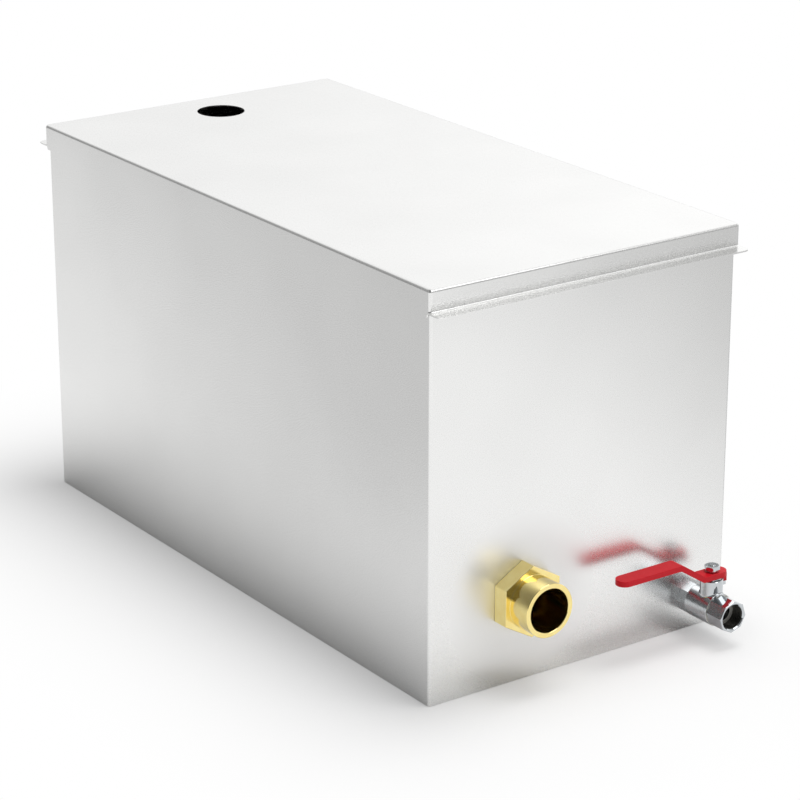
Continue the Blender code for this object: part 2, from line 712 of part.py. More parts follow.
def build_outlet():
    """Brass hexagon nipple through the end wall, with its washers, backnut, elbow and standpipe."""
    chamfer = OUTLET_CHAMFER
    profile = [
        (OUTLET_BORE_RADIUS, -OUTLET_TAIL_LENGTH),
        (OUTLET_TAIL_RADIUS - chamfer, -OUTLET_TAIL_LENGTH),
        (OUTLET_TAIL_RADIUS, -OUTLET_TAIL_LENGTH + chamfer),
        (OUTLET_TAIL_RADIUS, OUTLET_RECESS_FLOOR + CUT_MARGIN),
        (OUTLET_STUB_RADIUS, OUTLET_HEX_FRONT - CUT_MARGIN),
        (OUTLET_STUB_RADIUS, OUTLET_END - chamfer),
        (OUTLET_STUB_RADIUS - chamfer, OUTLET_END),
        (OUTLET_BORE_RADIUS, OUTLET_END),
    ]
    fitting = make_object("outlet_fitting", turned(profile, FINE_ROUND_STEPS), BRASS, outlet_frame)
    outer = polygon(OUTLET_HEX, 6, math.pi / 6)
    inner_radius = (OUTLET_BORE_RADIUS + OUTLET_TAIL_RADIUS) / 2
    hexagon = prism(outer, OUTLET_HEX_BACK, OUTLET_HEX_FRONT)
    collar = make_object("outlet_hexagon", hexagon, BRASS, outlet_frame)
    core = make_object(
        "outlet_core",
        prism(polygon(2 * inner_radius, FINE_ROUND_STEPS), 0.0, OUTLET_END),
        BRASS,
        outlet_frame,
    )
    combine(collar, core, "DIFFERENCE")
    recess_outline = polygon(2 * (OUTLET_WASHER_OUTER + WASHER_RECESS_GAP), ROUND_STEPS)
    recess = prism(recess_outline, 0.0, OUTLET_RECESS_FLOOR)
    combine(collar, make_object("outlet_recess", recess, BRASS, outlet_frame), "DIFFERENCE")
    combine(fitting, collar, "UNION")

    washer_bore = OUTLET_TAIL_RADIUS + HOLE_CLEARANCE
    washer = tube(OUTLET_WASHER_OUTER, washer_bore, SEAT_GAP, SEAT_GAP + WASHER_THICKNESS)
    make_object("outlet_outer_washer", washer, RUBBER, outlet_frame)
    low = INNER_WASHER_FACE - INNER_WASHER_THICKNESS
    inner_washer = tube(OUTLET_WASHER_OUTER, washer_bore, low, INNER_WASHER_FACE, HIDDEN_ROUND_STEPS)
    make_object("outlet_inner_washer", inner_washer, RUBBER, outlet_frame)
    nut_bore = OUTLET_TAIL_RADIUS + THREAD_CLEARANCE
    build_nut("outlet_backnut", BACKNUT_HEX, nut_bore, BACKNUT_THICKNESS, outlet_frame)


def build_nut(name, flats, bore_radius, thickness, frame):
    """A plain brass hexagon nut on the inner face of the end wall."""
    high = NUT_FACE
    low = high - thickness
    nut = make_object(name, prism(polygon(flats, 6, math.pi / 6), low, high), BRASS, frame)
    bore = polygon(2 * bore_radius, ROUND_STEPS)
    cutter = make_object(f"{name}_bore", prism(bore, low - thickness, high + thickness), BRASS, frame)
    combine(nut, cutter, "DIFFERENCE")


def build_elbow():
    """A swept elbow with a banded socket at each end."""
    bore = OUTLET_BORE_RADIUS
    socket = OUTLET_TAIL_RADIUS + THREAD_CLEARANCE
    body = socket + ELBOW_WALL
    band = body + ELBOW_BAND
    mouth = NUT_FACE - BACKNUT_THICKNESS - SEAT_GAP
    seat = -OUTLET_TAIL_LENGTH - SEAT_GAP
    depth = mouth - seat
    stations = [(0.0, band), (ELBOW_BAND_LENGTH, band), (ELBOW_BAND_LENGTH, body), (depth, body)]
    bend_length = QUARTER_TURN * ELBOW_BEND
    steps = ELBOW_STEPS
    for step in range(1, steps):
        stations.append((depth + bend_length * step / steps, body))
    end = depth + bend_length + ELBOW_SOCKET
    far = end - ELBOW_BAND_LENGTH
    stations += [(depth + bend_length, body), (far, body), (far, band), (end, band)]
    stations += [(end, socket), (depth + bend_length, socket), (depth + bend_length, bore)]
    for step in range(steps - 1, 0, -1):
        stations.append((depth + bend_length * step / steps, bore))
    stations += [(depth, bore), (depth, socket), (0.0, socket)]
    loops = []
    for distance, radius in stations:
        turn = min(max((distance - depth) / ELBOW_BEND, 0.0), QUARTER_TURN)
        straight_in = min(distance, depth)
        straight_up = max(distance - depth - bend_length, 0.0)
        centre_z = mouth - straight_in - ELBOW_BEND * math.sin(turn)
        centre_y = ELBOW_BEND * (1 - math.cos(turn)) + straight_up
        loop = []
        for side in range(HIDDEN_ROUND_STEPS):
            angle = 2 * math.pi * side / HIDDEN_ROUND_STEPS
            rise = radius * math.sin(angle)
            y = centre_y + rise * math.cos(turn)
            z = centre_z + rise * math.sin(turn)
            loop.append((radius * math.cos(angle), y, z))
        loops.append(loop)
    make_object("outlet_elbow", loft(loops, ring=True), BRASS, outlet_frame)

    pipe_low = ELBOW_BEND + SEAT_GAP + OUTLET_HEIGHT
    pipe_radius = OUTLET_TAIL_RADIUS
    pipe = tube(pipe_radius, pipe_radius - STANDPIPE_WALL, pipe_low, STANDPIPE_TOP, HIDDEN_ROUND_STEPS)
    standpipe = make_object("standpipe", pipe, INNER_STAINLESS, tank_frame)
    standpipe.location = (OUTLET_X, FRONT_FACE - seat + ELBOW_BEND, 0.0)


BODY_BACK = SEAT_GAP
WASHER_SEAT = SEAT_GAP + WASHER_THICKNESS + SEAT_GAP
CAP_START = VALVE_REACH - VALVE_END_LENGTH
CHAMBER_RADIUS = BALL_RADIUS + CHAMBER_CLEARANCE
SEAT_REACH = math.sqrt(BALL_RADIUS ** 2 - SEAT_FACE_RADIUS ** 2)
SEAT_NEAR = SEAT_REACH - SEAT_FACE_STEP
SEAT_FAR = SEAT_NEAR + SEAT_LENGTH
PACKING_RECESS = PACKING_RADIUS + STEM_CLEARANCE


def build_valve_body():
    """The forged valve body: octagon inlet, round barrel, stem boss with its two stops."""
    inlet_end = BODY_BACK + VALVE_INLET_FLATS_LENGTH
    body_end = CAP_START - SEAT_GAP
    inlet = prism(polygon(VALVE_END_FLATS, 8, VALVE_INLET_TURN), BODY_BACK, inlet_end)
    body = make_object("valve_body", inlet, CHROME, valve_frame)
    barrel = turned([
        (0.0, inlet_end - SEAT_GAP),
        (VALVE_BARREL_RADIUS - BARREL_EDGE, inlet_end - SEAT_GAP),
        (VALVE_BARREL_RADIUS, inlet_end - SEAT_GAP + BARREL_EDGE),
        (VALVE_BARREL_RADIUS, body_end - BARREL_EDGE / 2),
        (VALVE_BARREL_RADIUS - BARREL_EDGE / 2, body_end),
        (0.0, body_end),
    ])
    combine(body, make_object("valve_barrel", barrel, CHROME, valve_frame), "UNION")
    boss = make_object(
        "valve_boss",
        turned([
            (0.0, 0.0),
            (BOSS_RADIUS, 0.0),
            (BOSS_RADIUS, BOSS_TOP - BOSS_EDGE),
            (BOSS_RADIUS - BOSS_EDGE, BOSS_TOP),
            (0.0, BOSS_TOP),
        ]),
        CHROME,
        stem_frame,
    )
    combine(body, boss, "UNION")
    lug_half = STOP_LUG_WIDTH / 2
    closed_offset = STOP_TAB_NEAR - SEAT_GAP - lug_half
    open_offset = STOP_TAB_FAR + SEAT_GAP + lug_half
    stops = (("closed_stop", 0.0, closed_offset), ("open_stop", QUARTER_TURN, open_offset))
    for name, turn, offset in stops:
        low = (BOSS_RADIUS / 2, offset - lug_half, STOP_LUG_LOW)
        high = (STOP_LUG_REACH, offset + lug_half, STOP_LUG_HIGH)
        lug = make_object(name, box(low, high), CHROME, stem_frame)
        lug.rotation_euler = (0.0, 0.0, turn)
        combine(body, lug, "UNION")

    seat_shoulder = STEM_POSITION - SEAT_FAR - SEAT_GAP
    socket_end = WASHER_SEAT + INLET_SOCKET_DEPTH
    bores = turned([
        (0.0, 0.0),
        (VALVE_WASHER_OUTER + WASHER_RECESS_GAP, 0.0),
        (VALVE_WASHER_OUTER + WASHER_RECESS_GAP, WASHER_SEAT),
        (NIPPLE_RADIUS + THREAD_CLEARANCE, WASHER_SEAT),
        (NIPPLE_RADIUS + THREAD_CLEARANCE, socket_end),
        (PORT_RADIUS, socket_end),
        (PORT_RADIUS, seat_shoulder),
        (CHAMBER_RADIUS, seat_shoulder),
        (CHAMBER_RADIUS, body_end + CUT_MARGIN),
        (0.0, body_end + CUT_MARGIN),
    ])
    combine(body, make_object("valve_bores", bores, CHROME, valve_frame), "DIFFERENCE")
    collar_top = stem_collar_base() + STEM_COLLAR_THICKNESS + STEM_CLEARANCE
    stem_way = turned([
        (0.0, BALL_RADIUS / 2),
        (STEM_COLLAR_RADIUS + STEM_CLEARANCE, BALL_RADIUS / 2),
        (STEM_COLLAR_RADIUS + STEM_CLEARANCE, collar_top),
        (STEM_RADIUS + STEM_CLEARANCE, collar_top),
        (STEM_RADIUS + STEM_CLEARANCE, PACKING_FLOOR),
        (PACKING_RECESS, PACKING_FLOOR),
        (PACKING_RECESS, BOSS_TOP + CUT_MARGIN),
        (0.0, BOSS_TOP + CUT_MARGIN),
    ], HIDDEN_ROUND_STEPS)
    combine(body, make_object("stem_way", stem_way, CHROME, stem_frame), "DIFFERENCE")


def stem_collar_base():
    """Height of the collar that keeps the stem from being pushed out."""
    return BALL_RADIUS + SEAT_GAP


def build_valve_end_cap():
    """The octagonal end that screws into the body and holds the outer seat."""
    octagon = prism(polygon(VALVE_END_FLATS, 8, VALVE_END_TURN), CAP_START, VALVE_REACH)
    cap = make_object("valve_end_cap", octagon, CHROME, valve_frame)
    corner = VALVE_END_FLATS / 2 / math.cos(math.pi / 8) + SHARP_RADIUS
    cone = turned([
        (0.0, CAP_START - SHARP_RADIUS),
        (VALVE_END_FLATS / 2 - SHARP_RADIUS, CAP_START - SHARP_RADIUS),
        (corner, CAP_START + VALVE_CHAMFER),
        (corner, VALVE_REACH + SHARP_RADIUS),
        (0.0, VALVE_REACH + SHARP_RADIUS),
    ])
    combine(cap, make_object("cap_cone", cone, CHROME, valve_frame), "INTERSECT")
    spigot_start = STEM_POSITION + SEAT_FAR + SEAT_GAP
    spigot = turned([
        (0.0, spigot_start),
        (CHAMBER_RADIUS - THREAD_CLEARANCE, spigot_start),
        (CHAMBER_RADIUS - THREAD_CLEARANCE, CAP_START + CUT_MARGIN),
        (0.0, CAP_START + CUT_MARGIN),
    ])
    combine(cap, make_object("cap_spigot", spigot, CHROME, valve_frame), "UNION")
    socket_floor = VALVE_REACH - OUTLET_SOCKET_DEPTH
    mouth = SOCKET_CHAMFER
    bores = turned([
        (0.0, spigot_start - CUT_MARGIN),
        (PORT_RADIUS, spigot_start - CUT_MARGIN),
        (PORT_RADIUS, socket_floor),
        (SOCKET_RADIUS, socket_floor),
        (SOCKET_RADIUS, VALVE_REACH - mouth),
        (SOCKET_RADIUS + 2 * mouth, VALVE_REACH + mouth),
        (0.0, VALVE_REACH + mouth),
    ])
    combine(cap, make_object("cap_bores", bores, CHROME, valve_frame), "DIFFERENCE")


def build_seats():
    """Two plastic seats, each with a hollow face that fits the ball."""
    fit = BALL_RADIUS + SEAT_GAP
    near_angle = math.acos(SEAT_NEAR / fit)
    far_height = math.sqrt(fit ** 2 - PORT_RADIUS ** 2)
    far_angle = math.acos(far_height / fit)
    outer = CHAMBER_RADIUS - SEAT_GAP
    face = []
    for step in range(4):
        angle = far_angle + (near_angle - far_angle) * step / 3
        face.append((fit * math.sin(angle), fit * math.cos(angle)))
    for name, direction in (("inner_seat", -1), ("outer_seat", 1)):
        profile = [(radius, STEM_POSITION + direction * height) for radius, height in face]
        profile.append((outer, STEM_POSITION + direction * SEAT_NEAR))
        profile.append((outer, STEM_POSITION + direction * SEAT_FAR))
        profile.append((PORT_RADIUS, STEM_POSITION + direction * SEAT_FAR))
        make_object(name, turned(profile, HIDDEN_ROUND_STEPS), SEAT_PLASTIC, valve_frame)


def build_valve_connection():
    """The barrel nipple through the end wall, its washers and its locknut."""
    nipple_end = WASHER_SEAT + INLET_SOCKET_DEPTH - SEAT_GAP
    nipple = tube(NIPPLE_RADIUS, NIPPLE_BORE_RADIUS, -NIPPLE_INNER_REACH, nipple_end)
    make_object("valve_nipple", nipple, BRASS, valve_frame)
    washer_bore = NIPPLE_RADIUS + HOLE_CLEARANCE
    washer = tube(VALVE_WASHER_OUTER, washer_bore, SEAT_GAP, SEAT_GAP + WASHER_THICKNESS)
    make_object("valve_outer_washer", washer, RUBBER, valve_frame)
    low = INNER_WASHER_FACE - INNER_WASHER_THICKNESS
    inner_washer = tube(LOCKNUT_WASHER_OUTER, washer_bore, low, INNER_WASHER_FACE, HIDDEN_ROUND_STEPS)
    make_object("valve_inner_washer", inner_washer, RUBBER, valve_frame)
    nut_bore = NIPPLE_RADIUS + THREAD_CLEARANCE
    build_nut("valve_locknut", LOCKNUT_HEX, nut_bore, LOCKNUT_THICKNESS, valve_frame)


def build_ball_and_stem():
    """The ball with its port and drive slot, and the stem whose tongue turns it."""
    ball_builder = bmesh.new()
    bmesh.ops.create_uvsphere(
        ball_builder, u_segments=HIDDEN_ROUND_STEPS, v_segments=BALL_ROWS, radius=BALL_RADIUS
    )
    ball = make_object("valve_ball", ball_builder, CHROME, stem_frame)
    port = prism(polygon(2 * PORT_RADIUS, HIDDEN_ROUND_STEPS), -2 * BALL_RADIUS, 2 * BALL_RADIUS)
    port_cutter = make_object("ball_port", port, CHROME, stem_frame)
    port_cutter.rotation_euler = (0.0, QUARTER_TURN, 0.0)
    combine(ball, port_cutter, "DIFFERENCE")
    slot_floor = BALL_RADIUS - TONGUE_DEPTH - STEM_CLEARANCE
    slot_half = TONGUE_WIDTH / 2 + STEM_CLEARANCE
    slot = box((-BALL_RADIUS, -slot_half, slot_floor), (BALL_RADIUS, slot_half, 2 * BALL_RADIUS))
    combine(ball, make_object("ball_slot", slot, CHROME, stem_frame), "DIFFERENCE")

    base = stem_collar_base()
    shoulder = HUB_TOP - LEVER_THICKNESS - SEAT_GAP
    profile = [
        (0.0, base),
        (STEM_COLLAR_RADIUS, base),
        (STEM_COLLAR_RADIUS, base + STEM_COLLAR_THICKNESS),
        (STEM_RADIUS, base + STEM_COLLAR_THICKNESS),
        (STEM_RADIUS, shoulder),
        (STEM_THREAD_RADIUS, shoulder),
        (STEM_THREAD_RADIUS, STEM_TIP - STEM_CHAMFER),
        (STEM_THREAD_RADIUS - STEM_CHAMFER, STEM_TIP),
        (0.0, STEM_TIP),
    ]
    stem = make_object("valve_stem", turned(profile, HIDDEN_ROUND_STEPS), CHROME, stem_frame)
    tongue_half = TONGUE_WIDTH / 2
    tongue_low = BALL_RADIUS - TONGUE_DEPTH
    tongue_reach = math.sqrt(STEM_COLLAR_RADIUS ** 2 - tongue_half ** 2) - SHARP_RADIUS
    tongue_high = base + CUT_MARGIN / 2
    tongue = box((-tongue_reach, -tongue_half, tongue_low), (tongue_reach, tongue_half, tongue_high))
    combine(stem, make_object("stem_tongue", tongue, CHROME, stem_frame), "UNION")


def build_gland():
    """The stem packing and the gland nut that presses it."""
    bore = STEM_RADIUS + STEM_CLEARANCE
    low = PACKING_FLOOR + SEAT_GAP
    packing = tube(PACKING_RADIUS, bore, low, low + PACKING_HEIGHT, HIDDEN_ROUND_STEPS)
    make_object("stem_packing", packing, SEAT_PLASTIC, stem_frame)
    plug_low = low + PACKING_HEIGHT + SEAT_GAP
    head_low = BOSS_TOP + SEAT_GAP
    head_high = head_low + GLAND_HEAD
    plug = tube(PACKING_RADIUS, bore, plug_low, head_low + CUT_MARGIN, HIDDEN_ROUND_STEPS)
    gland = make_object("gland_nut", plug, CHROME, stem_frame)
    hexagon = prism(polygon(GLAND_HEX, 6), head_low, head_high)
    head = make_object("gland_head", hexagon, CHROME, stem_frame)
    combine(gland, head, "UNION")
    bore_outline = polygon(2 * bore, HIDDEN_ROUND_STEPS)
    bore_cutter = prism(bore_outline, plug_low - CUT_MARGIN, head_high + CUT_MARGIN)
    combine(gland, make_object("gland_bore", bore_cutter, CHROME, stem_frame), "DIFFERENCE")


GRIP_HEIGHT = HUB_TOP - LEVER_THICKNESS / 2 + LEVER_RISE


def lever_strip():
    """The cranked bar: hub, slope and grip, extruded across the lever's full width."""
    hub = HUB_TOP - LEVER_THICKNESS / 2
    path = [
        (LEVER_EYE_TO_END + CUT_MARGIN, hub),
        (-LEVER_LOW_BEND, hub),
        (-LEVER_CREST, GRIP_HEIGHT),
        (-LEVER_LENGTH - CUT_MARGIN, GRIP_HEIGHT),
    ]
    half = LEVER_WIDTH / 2 + CUT_MARGIN
    return extrude_along_y(bent_strip(path, LEVER_THICKNESS, LEVER_BEND_RADIUS), -half, half)


def lever_plan():
    """The lever's outline from above, rounded at both ends."""
    half = LEVER_WIDTH / 2
    outline = arc((LEVER_EYE_TO_END - half, 0.0), half, -QUARTER_TURN, QUARTER_TURN, LEVER_END_STEPS)
    outline += arc((-LEVER_LENGTH + half, 0.0), half, QUARTER_TURN, 3 * QUARTER_TURN, LEVER_END_STEPS)
    return prism(outline, STEM_RADIUS, GRIP_HEIGHT + LEVER_THICKNESS)


def stop_tab():
    """The small tab bent down from the hub's end, beside the boss."""
    middle = STOP_TAB_REACH - STOP_TAB_THICKNESS / 2
    top = HUB_TOP - STOP_TAB_THICKNESS / 2 - STOP_TAB_INSET
    root = STEM_RADIUS + STOP_TAB_THICKNESS / 2
    path = [(middle, HUB_TOP - STOP_TAB_LENGTH), (middle, top), (root, top)]
    outline = bent_strip(path, STOP_TAB_THICKNESS, LEVER_BEND_RADIUS / 2)
    return extrude_along_y(outline, STOP_TAB_NEAR, STOP_TAB_FAR)


def build_lever():
    """The red cranked lever and the nut that holds it on the stem."""
    lever = make_object("valve_lever", lever_strip(), RED_PAINT, stem_frame)
    combine(lever, make_object("lever_plan", lever_plan(), RED_PAINT, stem_frame), "INTERSECT")
    combine(lever, make_object("lever_tab", stop_tab(), RED_PAINT, stem_frame), "UNION")
    eye_outline = polygon(2 * (STEM_THREAD_RADIUS + STEM_CLEARANCE), HIDDEN_ROUND_STEPS)
    eye = prism(eye_outline, HUB_TOP - 2 * LEVER_THICKNESS, HUB_TOP + CUT_MARGIN)
    combine(lever, make_object("lever_eye", eye, RED_PAINT, stem_frame), "DIFFERENCE")

    nut_low = HUB_TOP + SEAT_GAP
    head_low = nut_low + LEVER_NUT_NECK
    head_high = head_low + LEVER_NUT_HEIGHT
    corner = LEVER_NUT_HEX / 2 / math.cos(math.pi / 6)
    hexagon = prism(polygon(LEVER_NUT_HEX, 6), head_low, head_high)
    nut = make_object("lever_nut", hexagon, CHROME, stem_frame)
    rounding = turned([
        (0.0, head_low - SHARP_RADIUS),
        (corner + SHARP_RADIUS, head_low - SHARP_RADIUS),
        (corner + SHARP_RADIUS, head_high - LEVER_NUT_CROWN_DROP),
        (corner - LEVER_NUT_CROWN_INSET, head_high + SHARP_RADIUS / 2),
        (0.0, head_high + SHARP_RADIUS / 2),
    ], HIDDEN_ROUND_STEPS)
    combine(nut, make_object("nut_rounding", rounding, CHROME, stem_frame), "INTERSECT")
    neck_outline = polygon(2 * LEVER_NUT_NECK_RADIUS, HIDDEN_ROUND_STEPS)
    neck = prism(neck_outline, nut_low, head_low + SHARP_RADIUS)
    combine(nut, make_object("nut_neck", neck, CHROME, stem_frame), "UNION")
    bore_outline = polygon(2 * (STEM_THREAD_RADIUS + STEM_CLEARANCE), HIDDEN_ROUND_STEPS)
    bore = prism(bore_outline, nut_low - CUT_MARGIN, head_high + CUT_MARGIN)
    combine(nut, make_object("nut_bore", bore, CHROME, stem_frame), "DIFFERENCE")


build_tank_walls()
build_tank_floor()
build_rim_gasket()
build_lid()
for side_name, side_sign in (("left", -1), ("right", 1)):
    build_channel(f"inlet_channel_{side_name}", side_sign, INLET_BAFFLE_Y)
    build_channel(f"outlet_channel_{side_name}", side_sign, OUTLET_BAFFLE_Y)
    build_rail(f"basket_rail_{side_name}", side_sign)
build_baffle("inlet_baffle", INLET_BAFFLE_Y, -1)
build_baffle("outlet_baffle", OUTLET_BAFFLE_Y, 1)
build_strainer_basket()
build_basket_handle()
build_outlet()
build_elbow()
build_valve_connection()
build_valve_body()
build_valve_end_cap()
build_seats()
build_ball_and_stem()
build_gland()
build_lever()
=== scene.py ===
import json
import math

import bmesh
import bpy
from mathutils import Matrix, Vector

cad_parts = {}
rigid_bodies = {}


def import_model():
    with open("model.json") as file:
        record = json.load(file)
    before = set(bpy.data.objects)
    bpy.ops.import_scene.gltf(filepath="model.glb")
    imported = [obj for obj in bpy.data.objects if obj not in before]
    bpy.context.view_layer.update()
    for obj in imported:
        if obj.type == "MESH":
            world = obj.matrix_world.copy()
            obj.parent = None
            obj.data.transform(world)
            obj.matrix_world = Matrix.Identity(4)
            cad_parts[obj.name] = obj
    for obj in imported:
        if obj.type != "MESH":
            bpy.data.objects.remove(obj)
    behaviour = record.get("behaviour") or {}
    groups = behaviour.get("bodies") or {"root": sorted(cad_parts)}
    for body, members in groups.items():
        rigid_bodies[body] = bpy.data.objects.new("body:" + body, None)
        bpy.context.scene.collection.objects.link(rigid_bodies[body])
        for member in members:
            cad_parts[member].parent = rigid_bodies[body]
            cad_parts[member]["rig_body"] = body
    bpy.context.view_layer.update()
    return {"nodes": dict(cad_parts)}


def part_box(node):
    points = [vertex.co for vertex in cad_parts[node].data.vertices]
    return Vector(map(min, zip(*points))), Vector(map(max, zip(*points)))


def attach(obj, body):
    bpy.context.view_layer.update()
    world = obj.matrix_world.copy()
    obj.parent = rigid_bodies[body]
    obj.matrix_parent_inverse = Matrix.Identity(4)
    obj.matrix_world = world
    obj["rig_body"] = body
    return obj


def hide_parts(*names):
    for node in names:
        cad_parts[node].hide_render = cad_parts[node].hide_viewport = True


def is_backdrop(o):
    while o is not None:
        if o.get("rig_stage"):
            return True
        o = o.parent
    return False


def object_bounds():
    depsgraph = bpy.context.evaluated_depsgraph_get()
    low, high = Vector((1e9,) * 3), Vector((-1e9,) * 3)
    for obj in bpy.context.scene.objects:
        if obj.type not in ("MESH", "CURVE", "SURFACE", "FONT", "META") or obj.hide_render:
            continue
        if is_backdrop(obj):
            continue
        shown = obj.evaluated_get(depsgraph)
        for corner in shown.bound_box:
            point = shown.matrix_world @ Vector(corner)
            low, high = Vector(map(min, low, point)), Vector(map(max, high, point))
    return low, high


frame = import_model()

# Camera
# A long lens looks down on the trap from beyond its front left corner, so both
# the long side and the end wall with the fittings show.
CAMERA_PLACE = (-1.3856, -2.0147, 1.0294)
CAMERA_YAW = math.radians(35.08)
CAMERA_PITCH = math.radians(20.0)

camera_data = bpy.data.cameras.new("photo_camera")
camera_data.sensor_width = 36.0
camera_data.lens = 132.04
camera_data.clip_end = 40.0
camera = bpy.data.objects.new("photo_camera", camera_data)
camera.location = CAMERA_PLACE
looking = Vector((
    math.sin(CAMERA_YAW) * math.cos(CAMERA_PITCH),
    math.cos(CAMERA_YAW) * math.cos(CAMERA_PITCH),
    -math.sin(CAMERA_PITCH),
))
camera.rotation_euler = looking.to_track_quat("-Z", "Y").to_euler()
bpy.context.collection.objects.link(camera)
bpy.context.scene.camera = camera
bpy.context.scene.view_settings.view_transform = "Standard"


# Studio
# A white table under a broad overhead lamp. Its white dome is darker near the
# horizon. To metal the table glows white, with a painted shade that greys it far to
# both sides, and its paint holds a painted contact shadow near things.
TABLE_WHITE = "#F7F7F7"
DOME_FOR_LIGHT = 0.30
DOME_HORIZON = 0.45
DOME_HORIZON_TO = -0.05
DOME_HIGH = 0.99
DOME_HIGH_FROM = 0.24
SHADOW_FADE = 0.27
SHADOW_KEPT = 0.70
FADE_IN_METAL = 0.94
CONTACT_REACH = 0.06
CONTACT_SHADE = 0.28
DOME_RIGHT = 0.20
DOME_RIGHT_FROM = (0.50, 0.66)
DOME_LEFT = 0.34
DOME_FRONT = 0.45
FRONT_SIDE = (-0.45, -0.05)
DARK_SIDE = (-0.42, 0.02)
BRIGHT_BAND = math.radians(-20.0)
BAND_HALF_WIDTH = 0.45
ASIDE_SHADE = 0.40
FRONT_LEFT_Y = (-0.35, 0.10)
RIGHT_FROM = (-0.10, 0.10)
METAL_FADE_POWER = 0.9
OVERHEAD_PLACE = (0.42, -0.25, 2.4)
OVERHEAD_SIZE = (1.2, 1.2)
OVERHEAD_POWER = 37.0
FRONT_PLACE = (0.55, -1.55, 1.50)
FRONT_SIZE = (1.1, 0.8)
FRONT_POWER = 6.0
TABLE_REACH = 14.0
TABLE_TOP = -0.0002


def linear(hex_colour):
    """Turn an sRGB hex colour into the linear colour that shaders take."""
    channels = [int(hex_colour[start:start + 2], 16) / 255 for start in (1, 3, 5)]
    return tuple(c / 12.92 if c <= 0.04045 else ((c + 0.055) / 1.055) ** 2.4 for c in channels) + (1.0,)


def add_node(tree, kind, settings=None, links=None):
    """Add one node, set its options and sockets, and link its sockets to earlier outputs."""
    node = tree.nodes.new(kind)
    for name, value in (settings or {}).items():
        if isinstance(name, int) or name[0].isupper():
            node.inputs[name].default_value = value
        else:
            setattr(node, name, value)
    for name, output in (links or {}).items():
        tree.links.new(output, node.inputs[name])
    return node


def build_world():
    """A dome that is white to the camera, graded for metal to reflect, and even for the rest."""
    world = bpy.data.worlds.new("studio_dome")
    world.use_nodes = True
    world.cycles.sampling_method = "NONE"
    tree = world.node_tree
    tree.nodes.clear()
    place = add_node(tree, "ShaderNodeTexCoord")
    split = add_node(tree, "ShaderNodeSeparateXYZ", links={0: place.outputs["Generated"]})
    grade = add_node(tree, "ShaderNodeMapRange", {
        "interpolation_type": "SMOOTHSTEP",
        "From Min": DOME_HORIZON_TO,
        "From Max": DOME_HIGH_FROM,
        "To Min": DOME_HORIZON,
        "To Max": DOME_HIGH,
    }, {"Value": split.outputs["Z"]})
    right = add_node(tree, "ShaderNodeMapRange", {
        "From Min": DOME_RIGHT_FROM[0],
        "From Max": DOME_RIGHT_FROM[1],
        "To Min": 0.0,
        "To Max": DOME_RIGHT,
    }, {"Value": split.outputs["X"]})
    brighter = add_node(tree, "ShaderNodeMath", {"operation": "ADD"}, {
        0: grade.outputs[0],
        1: right.outputs[0],
    })
    left = add_node(tree, "ShaderNodeMapRange", {
        "interpolation_type": "SMOOTHSTEP",
        "From Min": DARK_SIDE[0],
        "From Max": DARK_SIDE[1],
        "To Min": DOME_LEFT,
        "To Max": 1.0,
    }, {"Value": split.outputs["X"]})
    front = add_node(tree, "ShaderNodeMapRange", {
        "interpolation_type": "SMOOTHSTEP",
        "From Min": FRONT_SIDE[0],
        "From Max": FRONT_SIDE[1],
        "To Min": DOME_FRONT,
        "To Max": 1.0,
    }, {"Value": split.outputs["Y"]})
    shade = add_node(tree, "ShaderNodeMath", {"operation": "MULTIPLY"}, {
        0: left.outputs[0],
        1: front.outputs[0],
    })
    level = add_node(tree, "ShaderNodeMath", {"operation": "MULTIPLY"}, {
        0: brighter.outputs[0],
        1: shade.outputs[0],
    })
    white = linear("#FFFFFF")
    even = add_node(tree, "ShaderNodeBackground", {"Color": white, "Strength": DOME_FOR_LIGHT})
    graded = add_node(tree, "ShaderNodeBackground", {"Color": white}, {"Strength": level.outputs[0]})
    backdrop = add_node(tree, "ShaderNodeBackground", {"Color": white, "Strength": 1.0})
    rays = add_node(tree, "ShaderNodeLightPath")
    for_metal = add_node(tree, "ShaderNodeMixShader", links={
        0: rays.outputs["Is Glossy Ray"],
        1: even.outputs[0],
        2: graded.outputs[0],
    })
    choice = add_node(tree, "ShaderNodeMixShader", links={
        0: rays.outputs["Is Camera Ray"],
        1: for_metal.outputs[0],
        2: backdrop.outputs[0],
    })
    add_node(tree, "ShaderNodeOutputWorld", links={0: choice.outputs[0]})
    bpy.context.scene.world = world


def add_lamp(name, place, size, power, in_metal):
    """A soft lamp turned towards the trap, which metal reflects or not."""
    data = bpy.data.lights.new(name, "AREA")
    data.shape = "RECTANGLE"
    data.size = size[0]
    data.size_y = size[1]
    data.energy = power
    lamp = bpy.data.objects.new(name, data)
    lamp.location = place
    lamp.visible_glossy = in_metal
    lamp.rotation_euler = (-Vector(place)).to_track_quat("-Z", "Y").to_euler()
    bpy.context.collection.objects.link(lamp)


